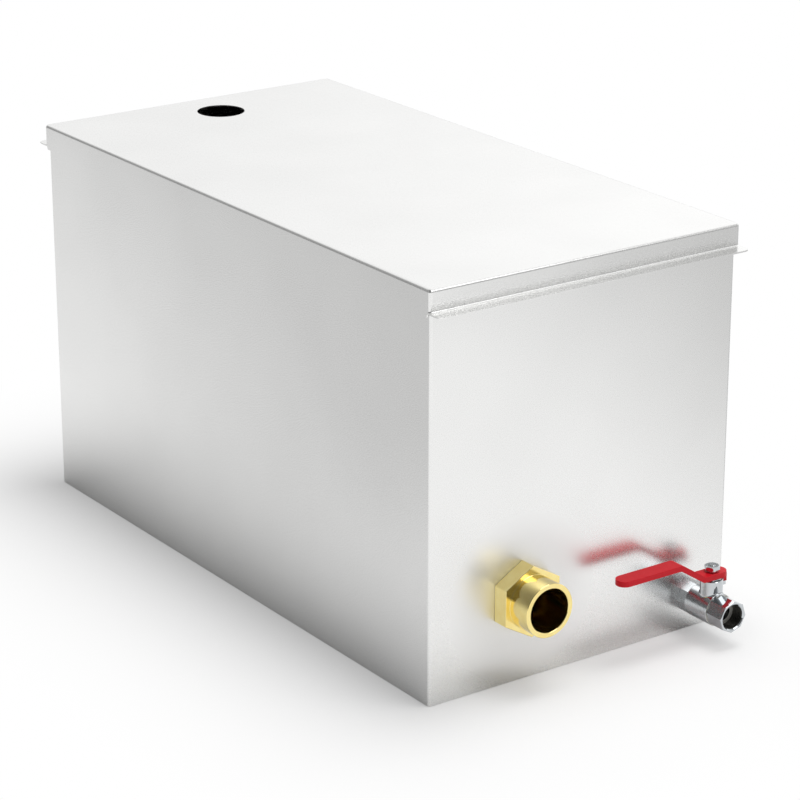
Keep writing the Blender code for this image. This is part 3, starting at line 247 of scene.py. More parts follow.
def table_paint():
    """White paint whose shadow fades to pure white away from the tank; its colour holds a painted contact
    shadow, and to metal it shows a painted shade far aside.
    """
    material = bpy.data.materials.new("white_studio_paint")
    material.use_nodes = True
    tree = material.node_tree
    paint = tree.nodes["Principled BSDF"]
    paint.inputs["Roughness"].default_value = 0.9
    paint.inputs["Specular IOR Level"].default_value = 0.0
    place = add_node(tree, "ShaderNodeTexCoord")
    outward = add_node(tree, "ShaderNodeVectorMath", {"operation": "ABSOLUTE"}, {
        0: place.outputs["Object"],
    })
    foot = frame_foot()
    beyond = add_node(tree, "ShaderNodeVectorMath", {"operation": "SUBTRACT", 1: foot}, {
        0: outward.outputs[0],
    })
    clear = add_node(tree, "ShaderNodeVectorMath", {"operation": "MAXIMUM", 1: (0.0, 0.0, 0.0)}, {
        0: beyond.outputs[0],
    })
    distance = add_node(tree, "ShaderNodeVectorMath", {"operation": "LENGTH"}, {0: clear.outputs[0]})
    left_over = add_node(tree, "ShaderNodeMapRange", {
        "From Min": 0.0,
        "From Max": SHADOW_FADE,
        "To Min": 1.0,
        "To Max": 0.0,
    }, {"Value": distance.outputs["Value"]})
    squared = add_node(tree, "ShaderNodeMath", {"operation": "POWER", 1: 2.0}, {0: left_over.outputs[0]})
    kept = add_node(tree, "ShaderNodeMath", {"operation": "MULTIPLY", 1: SHADOW_KEPT}, {
        0: squared.outputs[0],
    })
    rays = add_node(tree, "ShaderNodeLightPath")
    # Painted contact shadow: the paint's colour darkens where the occlusion node finds things close by.
    crevice = add_node(tree, "ShaderNodeAmbientOcclusion", {"samples": 8, "Distance": CONTACT_REACH})
    closed_in = add_node(tree, "ShaderNodeMath", {"operation": "SUBTRACT", 0: 1.0}, {
        1: crevice.outputs["AO"],
    })
    close_shade = add_node(tree, "ShaderNodeMath", {
        "operation": "MULTIPLY",
        1: CONTACT_SHADE,
        "use_clamp": True,
    }, {
        0: closed_in.outputs[0],
    })
    colour = add_node(tree, "ShaderNodeMixRGB", {
        "Color1": linear(TABLE_WHITE),
        "Color2": linear("#000000"),
    }, {"Fac": close_shade.outputs[0]})
    tree.links.new(colour.outputs[0], paint.inputs["Base Color"])
    to_camera = add_node(tree, "ShaderNodeMath", {"operation": "SUBTRACT", 0: 1.0}, {1: kept.outputs[0]})
    for_metal = add_node(tree, "ShaderNodeMath", {"operation": "POWER", 1: METAL_FADE_POWER}, {
        0: left_over.outputs[0],
    })
    to_metal = add_node(tree, "ShaderNodeMath", {"operation": "SUBTRACT", 0: 1.0}, {
        1: for_metal.outputs[0],
    })
    metal_amount = add_node(tree, "ShaderNodeMath", {"operation": "MULTIPLY", 1: FADE_IN_METAL}, {
        0: to_metal.outputs[0],
    })
    metal_share = add_node(tree, "ShaderNodeMath", {"operation": "MULTIPLY"}, {
        0: metal_amount.outputs[0],
        1: rays.outputs["Is Glossy Ray"],
    })
    amount = add_node(tree, "ShaderNodeMath", {"operation": "MULTIPLY_ADD"}, {
        0: to_camera.outputs[0],
        1: rays.outputs["Is Camera Ray"],
        2: metal_share.outputs[0],
    })
    # Painted shade seen only in metal: the table's white glow is greyed far to both sides of a band,
    # except towards the front left.
    across = (math.cos(BRIGHT_BAND), -math.sin(BRIGHT_BAND), 0.0)
    offset = add_node(tree, "ShaderNodeVectorMath", {"operation": "DOT_PRODUCT", 1: across}, {
        0: place.outputs["Object"],
    })
    depth = add_node(tree, "ShaderNodeSeparateXYZ", links={0: place.outputs["Object"]})
    size = add_node(tree, "ShaderNodeMath", {"operation": "ABSOLUTE"}, {0: offset.outputs["Value"]})
    aside = add_node(tree, "ShaderNodeMapRange", {
        "interpolation_type": "SMOOTHSTEP",
        "From Min": 0.0,
        "From Max": BAND_HALF_WIDTH,
        "To Min": 0.0,
        "To Max": ASIDE_SHADE,
    }, {"Value": size.outputs[0]})
    behind = add_node(tree, "ShaderNodeMapRange", {
        "From Min": FRONT_LEFT_Y[0],
        "From Max": FRONT_LEFT_Y[1],
    }, {"Value": depth.outputs["Y"]})
    to_right = add_node(tree, "ShaderNodeMapRange", {
        "From Min": RIGHT_FROM[0],
        "From Max": RIGHT_FROM[1],
    }, {"Value": offset.outputs["Value"]})
    greyed = add_node(tree, "ShaderNodeMath", {"operation": "MAXIMUM"}, {
        0: behind.outputs[0],
        1: to_right.outputs[0],
    })
    greyer = add_node(tree, "ShaderNodeMath", {"operation": "MULTIPLY"}, {
        0: aside.outputs[0],
        1: greyed.outputs[0],
    })
    in_metal = add_node(tree, "ShaderNodeMath", {"operation": "MULTIPLY"}, {
        0: greyer.outputs[0],
        1: rays.outputs["Is Glossy Ray"],
    })
    glow = add_node(tree, "ShaderNodeMath", {"operation": "SUBTRACT", 0: 1.0}, {1: in_metal.outputs[0]})
    white = add_node(tree, "ShaderNodeEmission", {"Color": linear("#FFFFFF")}, {
        "Strength": glow.outputs[0],
    })
    blend = add_node(tree, "ShaderNodeMixShader", links={
        0: amount.outputs[0],
        1: paint.outputs[0],
        2: white.outputs[0],
    })
    output = tree.nodes["Material Output"]
    tree.links.new(blend.outputs[0], output.inputs["Surface"])
    material.cycles.emission_sampling = "NONE"
    return material


def frame_foot():
    """Half the tank's footprint, from the middle of its underside."""
    low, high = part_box("tank_walls")
    return ((high[0] - low[0]) / 2, (high[1] - low[1]) / 2, 0.0)


build_world()
add_lamp("overhead_softbox", OVERHEAD_PLACE, OVERHEAD_SIZE, OVERHEAD_POWER, False)
add_lamp("front_softbox", FRONT_PLACE, FRONT_SIZE, FRONT_POWER, True)

floor_mesh = bpy.data.meshes.new("studio_table")
floor_mesh.from_pydata([
    (-TABLE_REACH, -TABLE_REACH, TABLE_TOP),
    (TABLE_REACH, -TABLE_REACH, TABLE_TOP),
    (TABLE_REACH, TABLE_REACH, TABLE_TOP),
    (-TABLE_REACH, TABLE_REACH, TABLE_TOP),
], [], [(0, 1, 2, 3)])
floor = bpy.data.objects.new("studio_table", floor_mesh)
bpy.context.collection.objects.link(floor)
floor_mesh.materials.append(table_paint())
floor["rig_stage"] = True


# Tank walls and floor tray
# One stainless sheet folded into four walls with a rim turned inwards, and a shallow
# tray welded in as the floor. The sheet is cold rolled, with a soft even sheen.
SHEET_EDGE = 0.00015
MERGE_DISTANCE = 0.00001
FLAT_WITHIN = math.radians(0.4)
BEAD_RADIUS = 0.0011
BEAD_SPACING = 0.0014
SEAM_INSET = 0.0024
SEAM_TOP_DROP = 0.0025
node_body = {name: item["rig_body"] for name, item in frame["nodes"].items()}


def new_material(name):
    """A material with its Principled shader, and the coordinates that its patterns use."""
    material = bpy.data.materials.new(name)
    material.use_nodes = True
    tree = material.node_tree
    place = add_node(tree, "ShaderNodeTexCoord").outputs["Object"]
    return material, tree, tree.nodes["Principled BSDF"], place


def mm(size):
    """Noise scale that gives features of about this many millimetres."""
    return 1000.0 / size


def sheet_steel(name, light, dark, roughness, grain):
    """Cold rolled stainless: pale grey metal with a very fine pickled grain and faint cloudiness."""
    material, tree, shader, place = new_material(name)
    speckle = add_node(tree, "ShaderNodeTexNoise", {
        "Scale": mm(grain),
        "Detail": 2.0,
        "Roughness": 0.6,
    }, {"Vector": place})
    cloud = add_node(tree, "ShaderNodeTexNoise", {"Scale": mm(90.0), "Detail": 2.0}, {"Vector": place})
    blend = add_node(tree, "ShaderNodeMath", {"operation": "MULTIPLY_ADD", 1: 0.35}, {
        0: speckle.outputs[0],
        2: cloud.outputs[0],
    })
    ramp = add_node(tree, "ShaderNodeValToRGB", links={0: blend.outputs[0]})
    ramp.color_ramp.elements[0].position = 0.45
    ramp.color_ramp.elements[0].color = linear(dark)
    ramp.color_ramp.elements[1].position = 0.90
    ramp.color_ramp.elements[1].color = linear(light)
    tree.links.new(ramp.outputs[0], shader.inputs["Base Color"])
    gloss = add_node(tree, "ShaderNodeMapRange", {
        "From Min": 0.3,
        "From Max": 0.7,
        "To Min": roughness - 0.015,
        "To Max": roughness + 0.015,
    }, {0: speckle.outputs[0]})
    tree.links.new(gloss.outputs[0], shader.inputs["Roughness"])
    bump = add_node(tree, "ShaderNodeBump", {"Strength": 0.003, "Distance": 0.0001}, {
        "Height": speckle.outputs[0],
    })
    tree.links.new(bump.outputs[0], shader.inputs["Normal"])
    shader.inputs["Metallic"].default_value = 1.0
    return material


def dull_round(material, centre, reach, extra):
    """Roughen the sheet round a point, as tools and sealing paste do round a clamped fitting."""
    tree = material.node_tree
    roughness = tree.nodes["Principled BSDF"].inputs["Roughness"]
    place = add_node(tree, "ShaderNodeTexCoord").outputs["Object"]
    offset = add_node(tree, "ShaderNodeVectorMath", {"operation": "DISTANCE", 1: centre}, {0: place})
    rubbed = add_node(tree, "ShaderNodeMapRange", {
        "interpolation_type": "SMOOTHSTEP",
        "From Min": reach / 2,
        "From Max": reach,
        "To Min": extra,
        "To Max": 0.0,
    }, {"Value": offset.outputs["Value"]})
    total = add_node(tree, "ShaderNodeMath", {"operation": "ADD"}, {
        0: roughness.links[0].from_socket,
        1: rubbed.outputs[0],
    })
    tree.links.new(total.outputs[0], roughness)


def dressed(node, edge_radius=0.0, sharp_angle=32.0):
    """A smooth copy of a CAD node: doubles merged, flat faces joined and edges rounded."""
    mesh = frame["nodes"][node].data.copy()
    mesh.name = f"{node}_finished"
    if "custom_normal" in mesh.attributes:
        mesh.attributes.remove(mesh.attributes["custom_normal"])
    shape = bmesh.new()
    shape.from_mesh(mesh)
    bmesh.ops.remove_doubles(shape, verts=shape.verts, dist=MERGE_DISTANCE)
    bmesh.ops.dissolve_limit(shape, angle_limit=FLAT_WITHIN, verts=shape.verts, edges=shape.edges)
    shape.to_mesh(mesh)
    shape.free()
    return finish_shape(f"{node}_finished", mesh, edge_radius, sharp_angle)


def finish_shape(name, mesh, edge_radius=0.0, sharp_angle=32.0):
    """Give a mesh rounded edges and clean shading, and return its object."""
    mesh.shade_smooth()
    mesh.set_sharp_from_angle(angle=math.radians(sharp_angle))
    piece = bpy.data.objects.new(name, mesh)
    bpy.context.collection.objects.link(piece)
    if edge_radius:
        rounding = piece.modifiers.new("rounded_edges", "BEVEL")
        rounding.width = edge_radius
        rounding.segments = 2
        rounding.limit_method = "ANGLE"
        rounding.angle_limit = math.radians(sharp_angle)
        rounding.harden_normals = True
    flatten = piece.modifiers.new("flat_faces_first", "WEIGHTED_NORMAL")
    flatten.keep_sharp = True
    return piece


def fit(piece, material, *nodes):
    """Give a piece its material, and let it stand for its CAD nodes on their body."""
    piece.data.materials.clear()
    piece.data.materials.append(material)
    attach(piece, node_body[nodes[0]])
    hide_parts(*nodes)


def weld_metal(name):
    """The bead of a welded seam: rippled steel with a straw coloured heat tint."""
    material, tree, shader, place = new_material(name)
    heat = add_node(tree, "ShaderNodeTexNoise", {"Scale": mm(6.0), "Detail": 2.0}, {"Vector": place})
    ramp = add_node(tree, "ShaderNodeValToRGB", links={0: heat.outputs[0]})
    ramp.color_ramp.elements[0].position = 0.35
    ramp.color_ramp.elements[0].color = linear("#B9A98E")
    ramp.color_ramp.elements[1].position = 0.6
    ramp.color_ramp.elements[1].color = linear("#C4C3C1")
    tree.links.new(ramp.outputs[0], shader.inputs["Base Color"])
    shader.inputs["Roughness"].default_value = 0.34
    shader.inputs["Metallic"].default_value = 1.0
    return material


def bead_nodes():
    """A node group that lays a row of overlapping weld drops along its paths."""
    tree = bpy.data.node_groups.new("weld_bead", "GeometryNodeTree")
    tree.interface.new_socket("Paths", in_out="INPUT", socket_type="NodeSocketGeometry")
    for label, value in (("Spacing", 0.002), ("Radius", 0.001)):
        socket = tree.interface.new_socket(label, in_out="INPUT", socket_type="NodeSocketFloat")
        socket.default_value = value
    tree.interface.new_socket("Material", in_out="INPUT", socket_type="NodeSocketMaterial")
    tree.interface.new_socket("Geometry", in_out="OUTPUT", socket_type="NodeSocketGeometry")
    given = add_node(tree, "NodeGroupInput")
    path = add_node(tree, "GeometryNodeMeshToCurve", links={"Mesh": given.outputs["Paths"]})
    stops = add_node(tree, "GeometryNodeResampleCurve", {"mode": "LENGTH"}, {
        "Curve": path.outputs[0],
        "Length": given.outputs["Spacing"],
    })
    drop = add_node(tree, "GeometryNodeMeshUVSphere", {"Segments": 8, "Rings": 5}, {
        "Radius": given.outputs["Radius"],
    })
    uneven = add_node(tree, "FunctionNodeRandomValue", {"data_type": "FLOAT", 2: 0.85, 3: 1.1, "Seed": 7})
    row = add_node(tree, "GeometryNodeInstanceOnPoints", links={
        "Points": stops.outputs[0],
        "Instance": drop.outputs[0],
        "Scale": uneven.outputs[1],
    })
    real = add_node(tree, "GeometryNodeRealizeInstances", links={"Geometry": row.outputs[0]})
    smooth = add_node(tree, "GeometryNodeSetShadeSmooth", links={"Geometry": real.outputs[0]})
    painted = add_node(tree, "GeometryNodeSetMaterial", links={
        "Geometry": smooth.outputs[0],
        "Material": given.outputs["Material"],
    })
    add_node(tree, "NodeGroupOutput", links={0: painted.outputs[0]})
    return tree


def grown(name, tree, values, place=lambda x, y, z: (x, y, z), paths=()):
    """Run a node group on straight paths and keep its result as a plain mesh where it belongs."""
    start = bpy.data.meshes.new(name)
    ends = [point for path in paths for point in path]
    start.from_pydata(ends, [(index, index + 1) for index in range(0, len(ends), 2)], [])
    carrier = bpy.data.objects.new(name, start)
    bpy.context.collection.objects.link(carrier)
    growth = carrier.modifiers.new("growth", "NODES")
    growth.node_group = tree
    for item in tree.interface.items_tree:
        if item.in_out == "INPUT" and item.name in values:
            growth[item.identifier] = values[item.name]
    bpy.context.view_layer.update()
    mesh = bpy.data.meshes.new_from_object(carrier.evaluated_get(bpy.context.evaluated_depsgraph_get()))
    carrier.modifiers.clear()
    for vertex in mesh.vertices:
        vertex.co = place(*vertex.co)
    carrier.data = mesh
    return carrier


def add_extra(piece, node):
    """Let a detail without a CAD node of its own go with the node that it belongs to."""
    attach(piece, node_body[node])


def weld(name, runs, node):
    """Lay weld beads along straight runs on a node."""
    values = {"Spacing": BEAD_SPACING, "Radius": BEAD_RADIUS, "Material": weld_bead_steel}
    add_extra(grown(name, WELD_BEAD, values, paths=runs), node)


WELD_BEAD = bead_nodes()
weld_bead_steel = weld_metal("heat_tinted_weld_bead")
satin_stainless = sheet_steel("cold_rolled_stainless_sheet", "#F3F3F2", "#EFEFEE", 0.27, 0.8)
inner_stainless = sheet_steel("mill_finish_stainless_sheet", "#D6D7D7", "#C9CACA", 0.36, 0.9)
fit(dressed("tank_walls", SHEET_EDGE), satin_stainless, "tank_walls")
fit(dressed("tank_floor", SHEET_EDGE), inner_stainless, "tank_floor")
walls_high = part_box("tank_walls")[1]
tray_low, tray_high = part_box("tank_floor")
corner_run = [
    (walls_high.x - SEAM_INSET, walls_high.y - SEAM_INSET, tray_high.z),
    (walls_high.x - SEAM_INSET, walls_high.y - SEAM_INSET, walls_high.z - SEAM_TOP_DROP),
]
tray_corners = [
    (tray_low.x + BEAD_RADIUS, tray_low.y + BEAD_RADIUS, tray_high.z),
    (tray_high.x - BEAD_RADIUS, tray_low.y + BEAD_RADIUS, tray_high.z),
    (tray_high.x - BEAD_RADIUS, tray_high.y - BEAD_RADIUS, tray_high.z),
    (tray_low.x + BEAD_RADIUS, tray_high.y - BEAD_RADIUS, tray_high.z),
]
tray_runs = list(zip(tray_corners, tray_corners[1:] + tray_corners[:1]))
weld("tray_weld", [*tray_runs, corner_run], "tank_floor")


# Rim gasket
# A flat frame of black nitrile rubber laid on the turned-in rim, which the lid presses.
# It is cut from sheet, so its edges are square.
def moulded_rubber(name):
    """Black rubber: very dark, matt, with a fine dusty bloom."""
    material, tree, shader, place = new_material(name)
    bloom = add_node(tree, "ShaderNodeTexNoise", {"Scale": mm(1.5), "Detail": 3.0}, {"Vector": place})
    ramp = add_node(tree, "ShaderNodeValToRGB", links={0: bloom.outputs[0]})
    ramp.color_ramp.elements[0].position = 0.35
    ramp.color_ramp.elements[0].color = linear("#1A1A1B")
    ramp.color_ramp.elements[1].position = 0.8
    ramp.color_ramp.elements[1].color = linear("#333334")
    tree.links.new(ramp.outputs[0], shader.inputs["Base Color"])
    bump = add_node(tree, "ShaderNodeBump", {"Strength": 0.25, "Distance": 0.0002}, {
        "Height": bloom.outputs[0],
    })
    tree.links.new(bump.outputs[0], shader.inputs["Normal"])
    shader.inputs["Roughness"].default_value = 0.72
    return material


black_rubber = moulded_rubber("moulded_nitrile_rubber")
fit(dressed("rim_gasket"), black_rubber, "rim_gasket")


# Channels, baffles and basket rails
# Folded stainless strips welded to the long walls. The baffles slide down in the
# channels and hang by their folded tops; the basket's flange sits on the rails.
CHANNELS = ("inlet_channel_left", "inlet_channel_right", "outlet_channel_left", "outlet_channel_right")
RAILS = ("basket_rail_left", "basket_rail_right")
CHANNEL_STITCHES = 5
RAIL_STITCHES = 4
STITCH_LENGTH = 0.018

for part_name in CHANNELS:
    fit(dressed(part_name, SHEET_EDGE), inner_stainless, part_name)
for part_name in (*RAILS, "inlet_baffle", "outlet_baffle"):
    fit(dressed(part_name, SHEET_EDGE), inner_stainless, part_name)


def stitches(start, end, count, length):
    """Short weld runs spread evenly along a seam."""
    start, end = Vector(start), Vector(end)
    half = (end - start).normalized() * length / 2
    middles = [start.lerp(end, (index + 0.5) / count) for index in range(count)]
    return [(middle - half, middle + half) for middle in middles]


for part_name in CHANNELS:
    low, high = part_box(part_name)
    wall_x = low.x if low.x < 0 else high.x
    seams = [((wall_x, seam_y, low.z), (wall_x, seam_y, high.z)) for seam_y in (low.y, high.y)]
    runs = [run for seam in seams for run in stitches(*seam, CHANNEL_STITCHES, STITCH_LENGTH)]
    weld(f"{part_name}_weld", runs, part_name)
for part_name in RAILS:
    low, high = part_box(part_name)
    wall_x = low.x if low.x < 0 else high.x
    runs = stitches((wall_x, low.y, low.z), (wall_x, high.y, low.z), RAIL_STITCHES, STITCH_LENGTH)
    weld(f"{part_name}_weld", runs, part_name)


# Strainer basket
# A pressed stainless basket with punched slots and a welded rod handle.
HANDLE_ROD = 0.006
HANDLE_SEAM = 0.016

fit(dressed("strainer_basket"), inner_stainless, "strainer_basket")
fit(dressed("basket_handle", sharp_angle=50.0), inner_stainless, "basket_handle")
handle_low, handle_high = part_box("basket_handle")
handle_runs = []
for foot_x in (handle_low.x + HANDLE_ROD / 2, handle_high.x - HANDLE_ROD / 2):
    outward = math.copysign(HANDLE_ROD / 2, foot_x)
    for seam_y in (handle_low.y, handle_high.y):
        seam_foot = (foot_x + outward, seam_y, handle_low.z)
        handle_runs.append((seam_foot, (foot_x + outward, seam_y, handle_low.z + HANDLE_SEAM)))
weld("basket_handle_weld", handle_runs, "basket_handle")


# Outlet
# A machined brass hexagon nipple clamped in the end wall by a backnut and rubber
# washers; inside, a cast brass elbow and a stainless standpipe set the water level.
WALL_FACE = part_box("tank_walls")[0].y
OUTLET_RUBBED = 0.078
RUBBED_EXTRA = 0.19
OUTLET_STUB = 0.02305
OUTLET_BORE = 0.0188
OUTLET_TAIL = 0.0210
OUTLET_FLATS = 0.054
HEX_BACK = 0.0002
BACK_EDGE = 0.0001
HEX_RECESS = 0.0249
WASHER_SEAT = 0.0021
HEX_FRONT = 0.0151
EDGE_BREAK = 0.0003
WASHER_EDGE = 0.0003
CAST_EDGE = 0.0004
PIPE_EDGE = 0.0002
FINE_STEPS = 96


def axis_place(node):
    """How to place points given across, up and outwards on a fitting of the end wall."""
    low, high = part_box(node)
    centre_x = (low.x + high.x) / 2
    centre_z = (low.z + high.z) / 2
    return lambda across, up, out: (centre_x + across, WALL_FACE - out, centre_z + up)


def flats(width, sides, turn):
    """The radius of a regular polygon at each angle, from its width across flats."""
    step = 2 * math.pi / sides
    return lambda angle: width / 2 / math.cos((angle - turn) % step - step / 2)


def rings(rows, place, turn=0.0, steps=FINE_STEPS):
    """Rings of points round an axis; a row is a radius, or a rule for it, and a depth."""
    found = []
    for radius, depth in rows:
        ring = []
        for index in range(steps):
            angle = turn + 2 * math.pi * index / steps
            reach = radius(angle) if callable(radius) else radius
            ring.append(place(reach * math.cos(angle), reach * math.sin(angle), depth))
        found.append(ring)
    return found


def skin(name, found, hollow=False):
    """Join rings into a closed skin; a hollow one returns to its first ring, others get caps."""
    shape = bmesh.new()
    rows = [[shape.verts.new(point) for point in ring] for ring in found]
    pairs = list(zip(rows, rows[1:]))
    if hollow:
        pairs.append((rows[-1], rows[0]))
    else:
        shape.faces.new(rows[0])
        shape.faces.new(rows[-1])
    for lower, upper in pairs:
        for index in range(len(lower)):
            following = (index + 1) % len(lower)
            shape.faces.new((lower[index], lower[following], upper[following], upper[index]))
    bmesh.ops.recalc_face_normals(shape, faces=shape.faces)
    mesh = bpy.data.meshes.new(name)
    shape.to_mesh(mesh)
    shape.free()
    return mesh


def thread_nodes():
    """A node group that winds a fine ridge round an axis, as a screw thread."""
    tree = bpy.data.node_groups.new("screw_thread", "GeometryNodeTree")
    for label, value in (("Radius", 0.01), ("Pitch", 0.0018), ("Turns", 5.0), ("Ridge", 0.0005)):
        socket = tree.interface.new_socket(label, in_out="INPUT", socket_type="NodeSocketFloat")
        socket.default_value = value
    tree.interface.new_socket("Material", in_out="INPUT", socket_type="NodeSocketMaterial")
    tree.interface.new_socket("Geometry", in_out="OUTPUT", socket_type="NodeSocketGeometry")
    given = add_node(tree, "NodeGroupInput")
    height = add_node(tree, "ShaderNodeMath", {"operation": "MULTIPLY"}, {
        0: given.outputs["Pitch"],
        1: given.outputs["Turns"],
    })
    spiral = add_node(tree, "GeometryNodeCurveSpiral", {"Resolution": 48}, {
        "Rotations": given.outputs["Turns"],
        "Start Radius": given.outputs["Radius"],
        "End Radius": given.outputs["Radius"],
        "Height": height.outputs[0],
    })
    ridge = add_node(tree, "GeometryNodeCurvePrimitiveCircle", {"Resolution": 8}, {
        "Radius": given.outputs["Ridge"],
    })
    sweep = add_node(tree, "GeometryNodeCurveToMesh", {"Fill Caps": True}, {
        "Curve": spiral.outputs[0],
        "Profile Curve": ridge.outputs[0],
    })
    smooth = add_node(tree, "GeometryNodeSetShadeSmooth", links={"Geometry": sweep.outputs[0]})
    painted = add_node(tree, "GeometryNodeSetMaterial", links={
        "Geometry": smooth.outputs[0],
        "Material": given.outputs["Material"],
    })
    add_node(tree, "NodeGroupOutput", links={0: painted.outputs[0]})
    return tree


THREAD = thread_nodes()


def brass_finish(name, light, dark, roughness, tooling):
    """Yellow brass: warm pale gold with faint tarnish, a fine grain and the marks of the lathe."""
    material, tree, shader, place = new_material(name)
    grain = add_node(tree, "ShaderNodeTexNoise", {"Scale": mm(0.5), "Detail": 2.0}, {"Vector": place})
    tarnish = add_node(tree, "ShaderNodeTexNoise", {"Scale": mm(9.0), "Detail": 3.0}, {"Vector": place})
    ramp = add_node(tree, "ShaderNodeValToRGB", links={0: tarnish.outputs[0]})
    ramp.color_ramp.elements[0].position = 0.3
    ramp.color_ramp.elements[0].color = linear(dark)
    ramp.color_ramp.elements[1].position = 0.7
    ramp.color_ramp.elements[1].color = linear(light)
    tree.links.new(ramp.outputs[0], shader.inputs["Base Color"])
    gloss = add_node(tree, "ShaderNodeMapRange", {
        "From Min": 0.3,
        "From Max": 0.7,
        "To Min": roughness - 0.04,
        "To Max": roughness + 0.05,
    }, {0: grain.outputs[0]})
    tree.links.new(gloss.outputs[0], shader.inputs["Roughness"])
    marks = add_node(tree, "ShaderNodeTexWave", {
        "wave_type": "BANDS",
        "bands_direction": "Y",
        "Scale": mm(0.7) * math.pi / 10,
        "Distortion": 0.4,
        "Detail": 1.0,
    }, {"Vector": place})
    height = add_node(tree, "ShaderNodeMath", {"operation": "MULTIPLY_ADD", 1: tooling}, {
        0: marks.outputs["Fac"],
        2: grain.outputs[0],
    })
    bump = add_node(tree, "ShaderNodeBump", {"Strength": 0.05, "Distance": 0.0001}, {
        "Height": height.outputs[0],
    })
    tree.links.new(bump.outputs[0], shader.inputs["Normal"])
    shader.inputs["Metallic"].default_value = 1.0
    return material


def outlet_mesh():
    """The nipple's skin: bore, tail, hexagon collar and smooth outer stub."""
    low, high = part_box("outlet_fitting")
    tail_end = WALL_FACE - high.y
    end = WALL_FACE - low.y
    brink = EDGE_BREAK
    rows = [
        (OUTLET_BORE, tail_end),
        (OUTLET_TAIL - brink, tail_end),
        (OUTLET_TAIL, tail_end + brink),
        (OUTLET_TAIL, WASHER_SEAT),
        (HEX_RECESS, WASHER_SEAT),
        (HEX_RECESS, HEX_BACK),
        (flats(OUTLET_FLATS - 2 * BACK_EDGE, 6, math.pi / 6), HEX_BACK),
        (flats(OUTLET_FLATS, 6, math.pi / 6), HEX_BACK + BACK_EDGE),
        (flats(OUTLET_FLATS, 6, math.pi / 6), HEX_FRONT - brink),
        (flats(OUTLET_FLATS - 2 * brink, 6, math.pi / 6), HEX_FRONT),
        (OUTLET_STUB + brink, HEX_FRONT),
        (OUTLET_STUB, HEX_FRONT + brink),
        (OUTLET_STUB, end - brink),
        (OUTLET_STUB - brink, end),
        (OUTLET_BORE + brink, end),
        (OUTLET_BORE, end - brink),
    ]
    found = rings(rows, axis_place("outlet_fitting"), math.pi / 6)
    return skin("outlet_fitting_finished", found, hollow=True)


dull_round(satin_stainless, axis_place("outlet_fitting")(0.0, 0.0, 0.0), OUTLET_RUBBED, RUBBED_EXTRA)
machined_brass = brass_finish("machined_yellow_brass", "#FCEAA2", "#F8E296", 0.14, 0.5)
cast_brass = brass_finish("cast_yellow_brass", "#D9B45A", "#C6A04A", 0.38, 0.0)
fit(finish_shape("outlet_fitting_finished", outlet_mesh()), machined_brass, "outlet_fitting")
fit(dressed("outlet_outer_washer", WASHER_EDGE), black_rubber, "outlet_outer_washer")
fit(dressed("outlet_inner_washer", WASHER_EDGE), black_rubber, "outlet_inner_washer")
fit(dressed("outlet_backnut", CAST_EDGE), cast_brass, "outlet_backnut")
fit(dressed("outlet_elbow", CAST_EDGE), cast_brass, "outlet_elbow")
fit(dressed("standpipe", PIPE_EDGE), inner_stainless, "standpipe")


# Drain valve
# A small chromed brass ball valve on a brass nipple, with plastic seats and packing.
# Its body is forged, then turned and bored; the octagonal end screws in after the ball.
VALVE_FLATS = 0.0256
INLET_TURN = math.radians(4.3)
END_TURN = math.radians(-4.8)
INLET_BACK = 0.0001
INLET_RECESS = 0.0121
INLET_FRONT = 0.0099
INLET_EDGE = 0.0002
BARREL = 0.0142
BARREL_EDGE = 0.0007
BARREL_END = 0.0369
CAP_BACK = 0.0371
CAP_CONE = 0.0004
STEM_OUT = 0.0272
BOSS = 0.0096
BOSS_TOP = 0.0254
BOSS_EDGE = 0.0005
BOSS_FOOT = 0.004
COLLAR_WAY = 0.0053
COLLAR_SHOULDER = 0.0128
STEM_WAY = 0.0042
PACKING_FLOOR = 0.0152
PACKING_WAY = 0.0069
BOSS_FLARE = 0.0021
FLARE_STEPS = 8
LUG_FOOT = 0.0182
LUG_TOP = 0.0215
LUG_WIDTH = 0.0022
LUG_REACH = 0.0125
CLOSED_STOP = -0.0024
OPEN_STOP = 0.0049
PORT = 0.0070
SOCKET = 0.0106
SOCKET_DEPTH = 0.0125
SOCKET_EDGE = 0.0009
BALL_CHAMBER = 0.0111
THREAD_PITCH = 0.001814
THREAD_RIDGE = 0.00045
THREAD_TURNS = 5.5
NIPPLE = 0.01045


def chrome_finish(name, colour, roughness):
    """Metal of the valve, plated or bare: an even tint with a slight casting ripple."""
    material, tree, shader, place = new_material(name)
    ripple = add_node(tree, "ShaderNodeTexNoise", {"Scale": mm(3.0), "Detail": 1.0}, {"Vector": place})
    gloss = add_node(tree, "ShaderNodeMapRange", {
        "From Min": 0.3,
        "From Max": 0.7,
        "To Min": roughness - 0.02,
        "To Max": roughness + 0.03,
    }, {0: ripple.outputs[0]})
    tree.links.new(gloss.outputs[0], shader.inputs["Roughness"])
    bump = add_node(tree, "ShaderNodeBump", {"Strength": 0.03, "Distance": 0.0003}, {
        "Height": ripple.outputs[0],
    })
    tree.links.new(bump.outputs[0], shader.inputs["Normal"])
    shader.inputs["Base Color"].default_value = linear(colour)
    shader.inputs["Metallic"].default_value = 1.0
    return material


def seat_plastic(name):
    """White fluoroplastic: waxy, slightly translucent looking, faintly mottled."""
    material, tree, shader, place = new_material(name)
    mottle = add_node(tree, "ShaderNodeTexNoise", {"Scale": mm(2.0), "Detail": 2.0}, {"Vector": place})
    ramp = add_node(tree, "ShaderNodeValToRGB", links={0: mottle.outputs[0]})
    ramp.color_ramp.elements[0].color = linear("#DCDCD6")
    ramp.color_ramp.elements[1].color = linear("#F1F1EC")
    tree.links.new(ramp.outputs[0], shader.inputs["Base Color"])
    shader.inputs["Roughness"].default_value = 0.45
    return material


